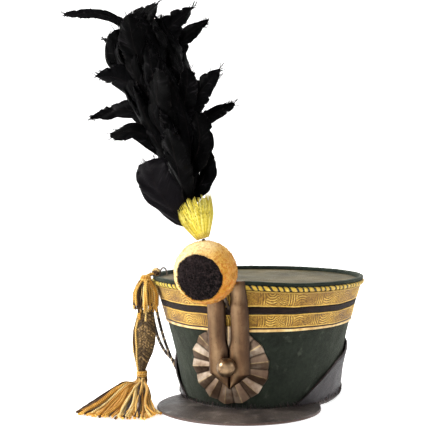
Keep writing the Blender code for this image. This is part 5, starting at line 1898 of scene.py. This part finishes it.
flounderSizes = {
    "at": (-0.0990, -0.0840),
    "top": 0.0960,
    "length": 0.0630,
    "width": 0.0240,
    "thick": 0.0090,
    "sway": -0.0057,
    "shares": (0, 0.10, 0.22, 0.38, 0.55, 0.70, 0.84, 1.0),
    "widths": (0.45, 0.72, 0.82, 1.0, 1.0, 0.86, 0.58, 0.30),
    "rows": 200,
    "cols": 72,
    "pitch": 0.0030,
    "slope": 0.38,
    "relief": 0.0008,
    "seam": 0.0006,
    "inset": 0.0006,
    "cord": 0.00115,
    "cords": ((3.30, 0.3, 0.93), (3.62, 1.4, 0.14), (3.98, 2.2, 0.86)),  # turn, start of the wave, tone
    "over": 0.004,  # how far the cords go past the tongue's top and foot
    "under": 0.002,
}


def plaitLook():
    look = Look("plaitedWool", {"Sheen Weight": 0.25, "Specular IOR Level": 0.2})
    tone, ply = look.mark("tone"), look.mark("ply")
    fine = look.noise(900.0, 4, 0.65)
    broken = look.noise(520.0, 3, 0.65).between(0.44, 0.62)
    worn = tone * (broken * 0.6 + 0.4) + (look.noise(150.0, 3) - 0.5) * 0.3
    colour = look.ramp(worn, (0.08, 44, 33, 20), (0.25, 74, 57, 34), (0.48, 112, 88, 52),
                       (0.72, 166, 136, 90))
    # painted shade in the grooves between the plaits
    look.give("Base Color", look.mix(ply.between(0.62, 0.95) * 0.65, colour, (26, 20, 14)))
    look.give("Roughness", fine * 0.15 + 0.8)
    look.bump(fine * 0.8 + look.noise(300.0, 3) * 0.5, 0.0006)
    return look.material


# the tongue at a share of its length: middle, share of its full width, half width, half thickness
def tongue(share):
    s = flounderSizes
    widths = np.interp(share, s["shares"], s["widths"])
    thick = s["thick"] * (0.55 + 0.45 * widths) / 2
    return s["at"][0] + s["sway"] * share, widths, s["width"] * widths / 2, thick


# a flat tongue, plaited in chevrons: phase = (q - slope |p|) / pitch, with p across and q down it
def makeFlounder():
    s = flounderSizes
    share = np.linspace(0, 1, s["rows"])[:, None]
    middle, widths, half, thick = tongue(share)
    turn = turnsOf(s["cols"])[None]
    p = np.cos(turn) * np.sign(np.sin(turn) + 1e-9)
    down = share * s["length"]
    phase = (down - np.abs(p) * s["width"] * s["slope"] * widths) / s["pitch"] + (p > 0) * 0.5
    ply = np.abs(((phase % 1.0) - 0.5) * 2)
    relief = s["relief"] * (1 - smooth(0.50, 1.0, ply)) - s["seam"] * np.exp(-((p / 0.10) ** 2))
    x = middle + (half + relief - s["inset"]) * np.cos(turn)
    y = s["at"][1] + (thick + relief - s["inset"]) * np.sin(turn)
    tone = np.random.default_rng(131).uniform(0, 1, 64)[np.floor(phase).astype(int) % 64]
    marks = {"tone": 0.30 + 0.45 * tone, "ply": ply + 0 * x}
    u, v = np.linspace(0, 0.05, s["cols"] + 1), np.linspace(0, s["length"], s["rows"] + 1)
    plait = surface("flounder_plait", together(x, y, s["top"] - down), u=u, v=v, marks=marks)
    dress(plait, plaitLook(), "line_cord", "flounder")


# three loose cords that wander down the tongue's outer side
def makeFlounderCords(material):
    s = flounderSizes
    share = np.linspace(0, 1, 70)
    middle, _, half, thick = tongue(share)
    z = s["top"] + s["over"] - (s["length"] + s["over"] + s["under"]) * share
    paths = []
    for turn, wave, _ in s["cords"]:
        sway = turn + 0.16 * np.sin(share * 9 + wave)
        x, y = middle + (half + 0.0003) * np.cos(sway), s["at"][1] + (thick + 0.0006) * np.sin(sway)
        paths.append(np.stack([x, y, z], -1))
    tones = [tone for _, _, tone in s["cords"]]
    dress(plied("flounder_cords", np.stack(paths), s["cord"], tones, 0.25, 0.0052), material, "line_cord")


bindingSizes = {
    "top": (-0.1047, -0.0840, 0.0327),
    "radius": 0.0056,
    "length": 0.0068,
    "cord": 0.00085,
    "start": 0.0010,
    "step": 0.0012,
    "tilt": 0.0004,
    "tones": (0.75, 0.55, 0.9, 0.6, 0.7),
    "plain": 0.3,  # the tone of the wound threads' core
}


def upright(point):
    place = np.eye(4)
    place[:3, 3] = point
    return place


# rings of cord, widest at the middle one, round a plain core
def makeBinding(material):
    s = bindingSizes
    rounds = np.linspace(0, 2 * math.pi, 60)
    rings = []
    for k in range(len(s["tones"])):
        radius = s["radius"] * (0.80 + 0.10 * math.sin(math.pi * k / 4) + 0.02 * (k % 2))
        rise = s["tilt"] * np.sin(rounds + k) - s["start"] - s["step"] * k
        rings.append(np.array(s["top"]) + roundOf(rounds, radius, rise))
    wound = plied("binding_cords", np.stack(rings), s["cord"], s["tones"], 0.22, 0.0045)
    angle = np.linspace(-1.45, 1.45, 14)
    radius, along = s["radius"] * 0.72 * np.cos(angle) ** 0.3, -s["length"] / 2 * (1 - np.sin(angle))
    core = turned("binding_core", np.stack([radius, along], -1), 24, upright(s["top"]))
    evenMark(core, "tone", s["plain"])
    dress(joined("binding_cords", [wound, core]), material, "gold_fringe", "tassel_binding")


fringeSizes = {
    "threads": 92,
    "thread": 0.00150,
    "length": 0.096,
    "sweep": (-27, 35),  # degrees from straight ahead
    "stray": 1.6,
    "lift": 0.0055,
    "mouth": 0.0038,
    "dark": 0.16,
    "head": ((0.0030, 0.0010), (0.0054, 0.0), (0.0060, -0.0040), (0.0050, -0.0088), (0.0015, -0.0100)),
}


# each thread falls from the binding, bends and lies forward on the floor: a curve through five points
def makeFringe(material):
    s = fringeSizes
    draw = np.random.default_rng(141)
    count = s["threads"]
    top = np.array(bindingSizes["top"]) - [0, 0, bindingSizes["length"] - 0.0006]
    share = np.linspace(0, 1, count)
    low, high = s["sweep"]
    angle = np.radians(low + (high - low) * share + draw.normal(0, s["stray"], count))
    right = np.clip((np.degrees(angle) - 24) / 12, 0, 1)
    length = s["length"] * (0.955 - 0.20 * right + 0.03 * np.abs(share - 0.3))
    length = length * draw.uniform(0.93, 1.0, count)
    layer = draw.uniform(0, 1, count)
    out = np.stack([np.sin(angle), -np.cos(angle), 0 * angle], -1)
    drop = top[2] - s["thread"]
    reach = np.sqrt(length**2 - drop**2)
    fall = np.interp(np.degrees(angle), [low, 0, 36], [0.36, 0.48, 0.62]) - 0.14 * layer
    lift = s["lift"] * layer
    around = draw.uniform(0, 2 * math.pi, count)
    start = top + roundOf(around, 1.0) * s["mouth"] * draw.uniform(0.3, 1, (count, 1))
    up = np.array([0, 0, 1.0])
    side = np.cross(out, up) * draw.normal(0, 0.0016, (count, 1))
    # share of the reach, metres down, share of the sideways sway
    stops = ((0.12, drop * 0.20 * np.ones(count), 0.5), (0.34, drop * fall - lift * 0.6, 1.0),
             (0.72, drop * (0.72 + 0.42 * fall) - lift, -0.6), (1.0, drop - lift * 0.35, 1.4))
    path = [start]
    for far, down, sway in stops:
        path.append(top + out * (reach * far)[:, None] - up * down[:, None] + side * sway)
    paths = smoothPath(np.stack(path, 1), 6)
    radii = s["thread"] * draw.uniform(0.75, 1.15, (count, 1)) * np.linspace(1, 0.92, paths.shape[1])
    paths[..., 2] = np.maximum(paths[..., 2], radii * 1.02)
    threads = plied("fringe_threads", paths, radii, threadTones(draw, count, s["dark"]), 0.30, 0.0062, 10)
    core = turned("fringe_head", s["head"], 24, upright(top))
    evenMark(core, "tone", bindingSizes["plain"])
    dress(joined("fringe_threads", [threads, core]), material, "gold_fringe", "lower_tassel")


goldTones = ((46, 30, 17), (86, 57, 28), (198, 137, 44), (219, 160, 64), (237, 188, 94), (247, 220, 150))
goldThread = threadLook("goldThread", goldTones, 0.0046, dark=0.55)
makeHook()
makeKnot()
makeUpperTassel(goldThread)
makeFlounder()
makeFlounderCords(goldThread)
makeBinding(goldThread)
makeFringe(goldThread)
print("cap line made")
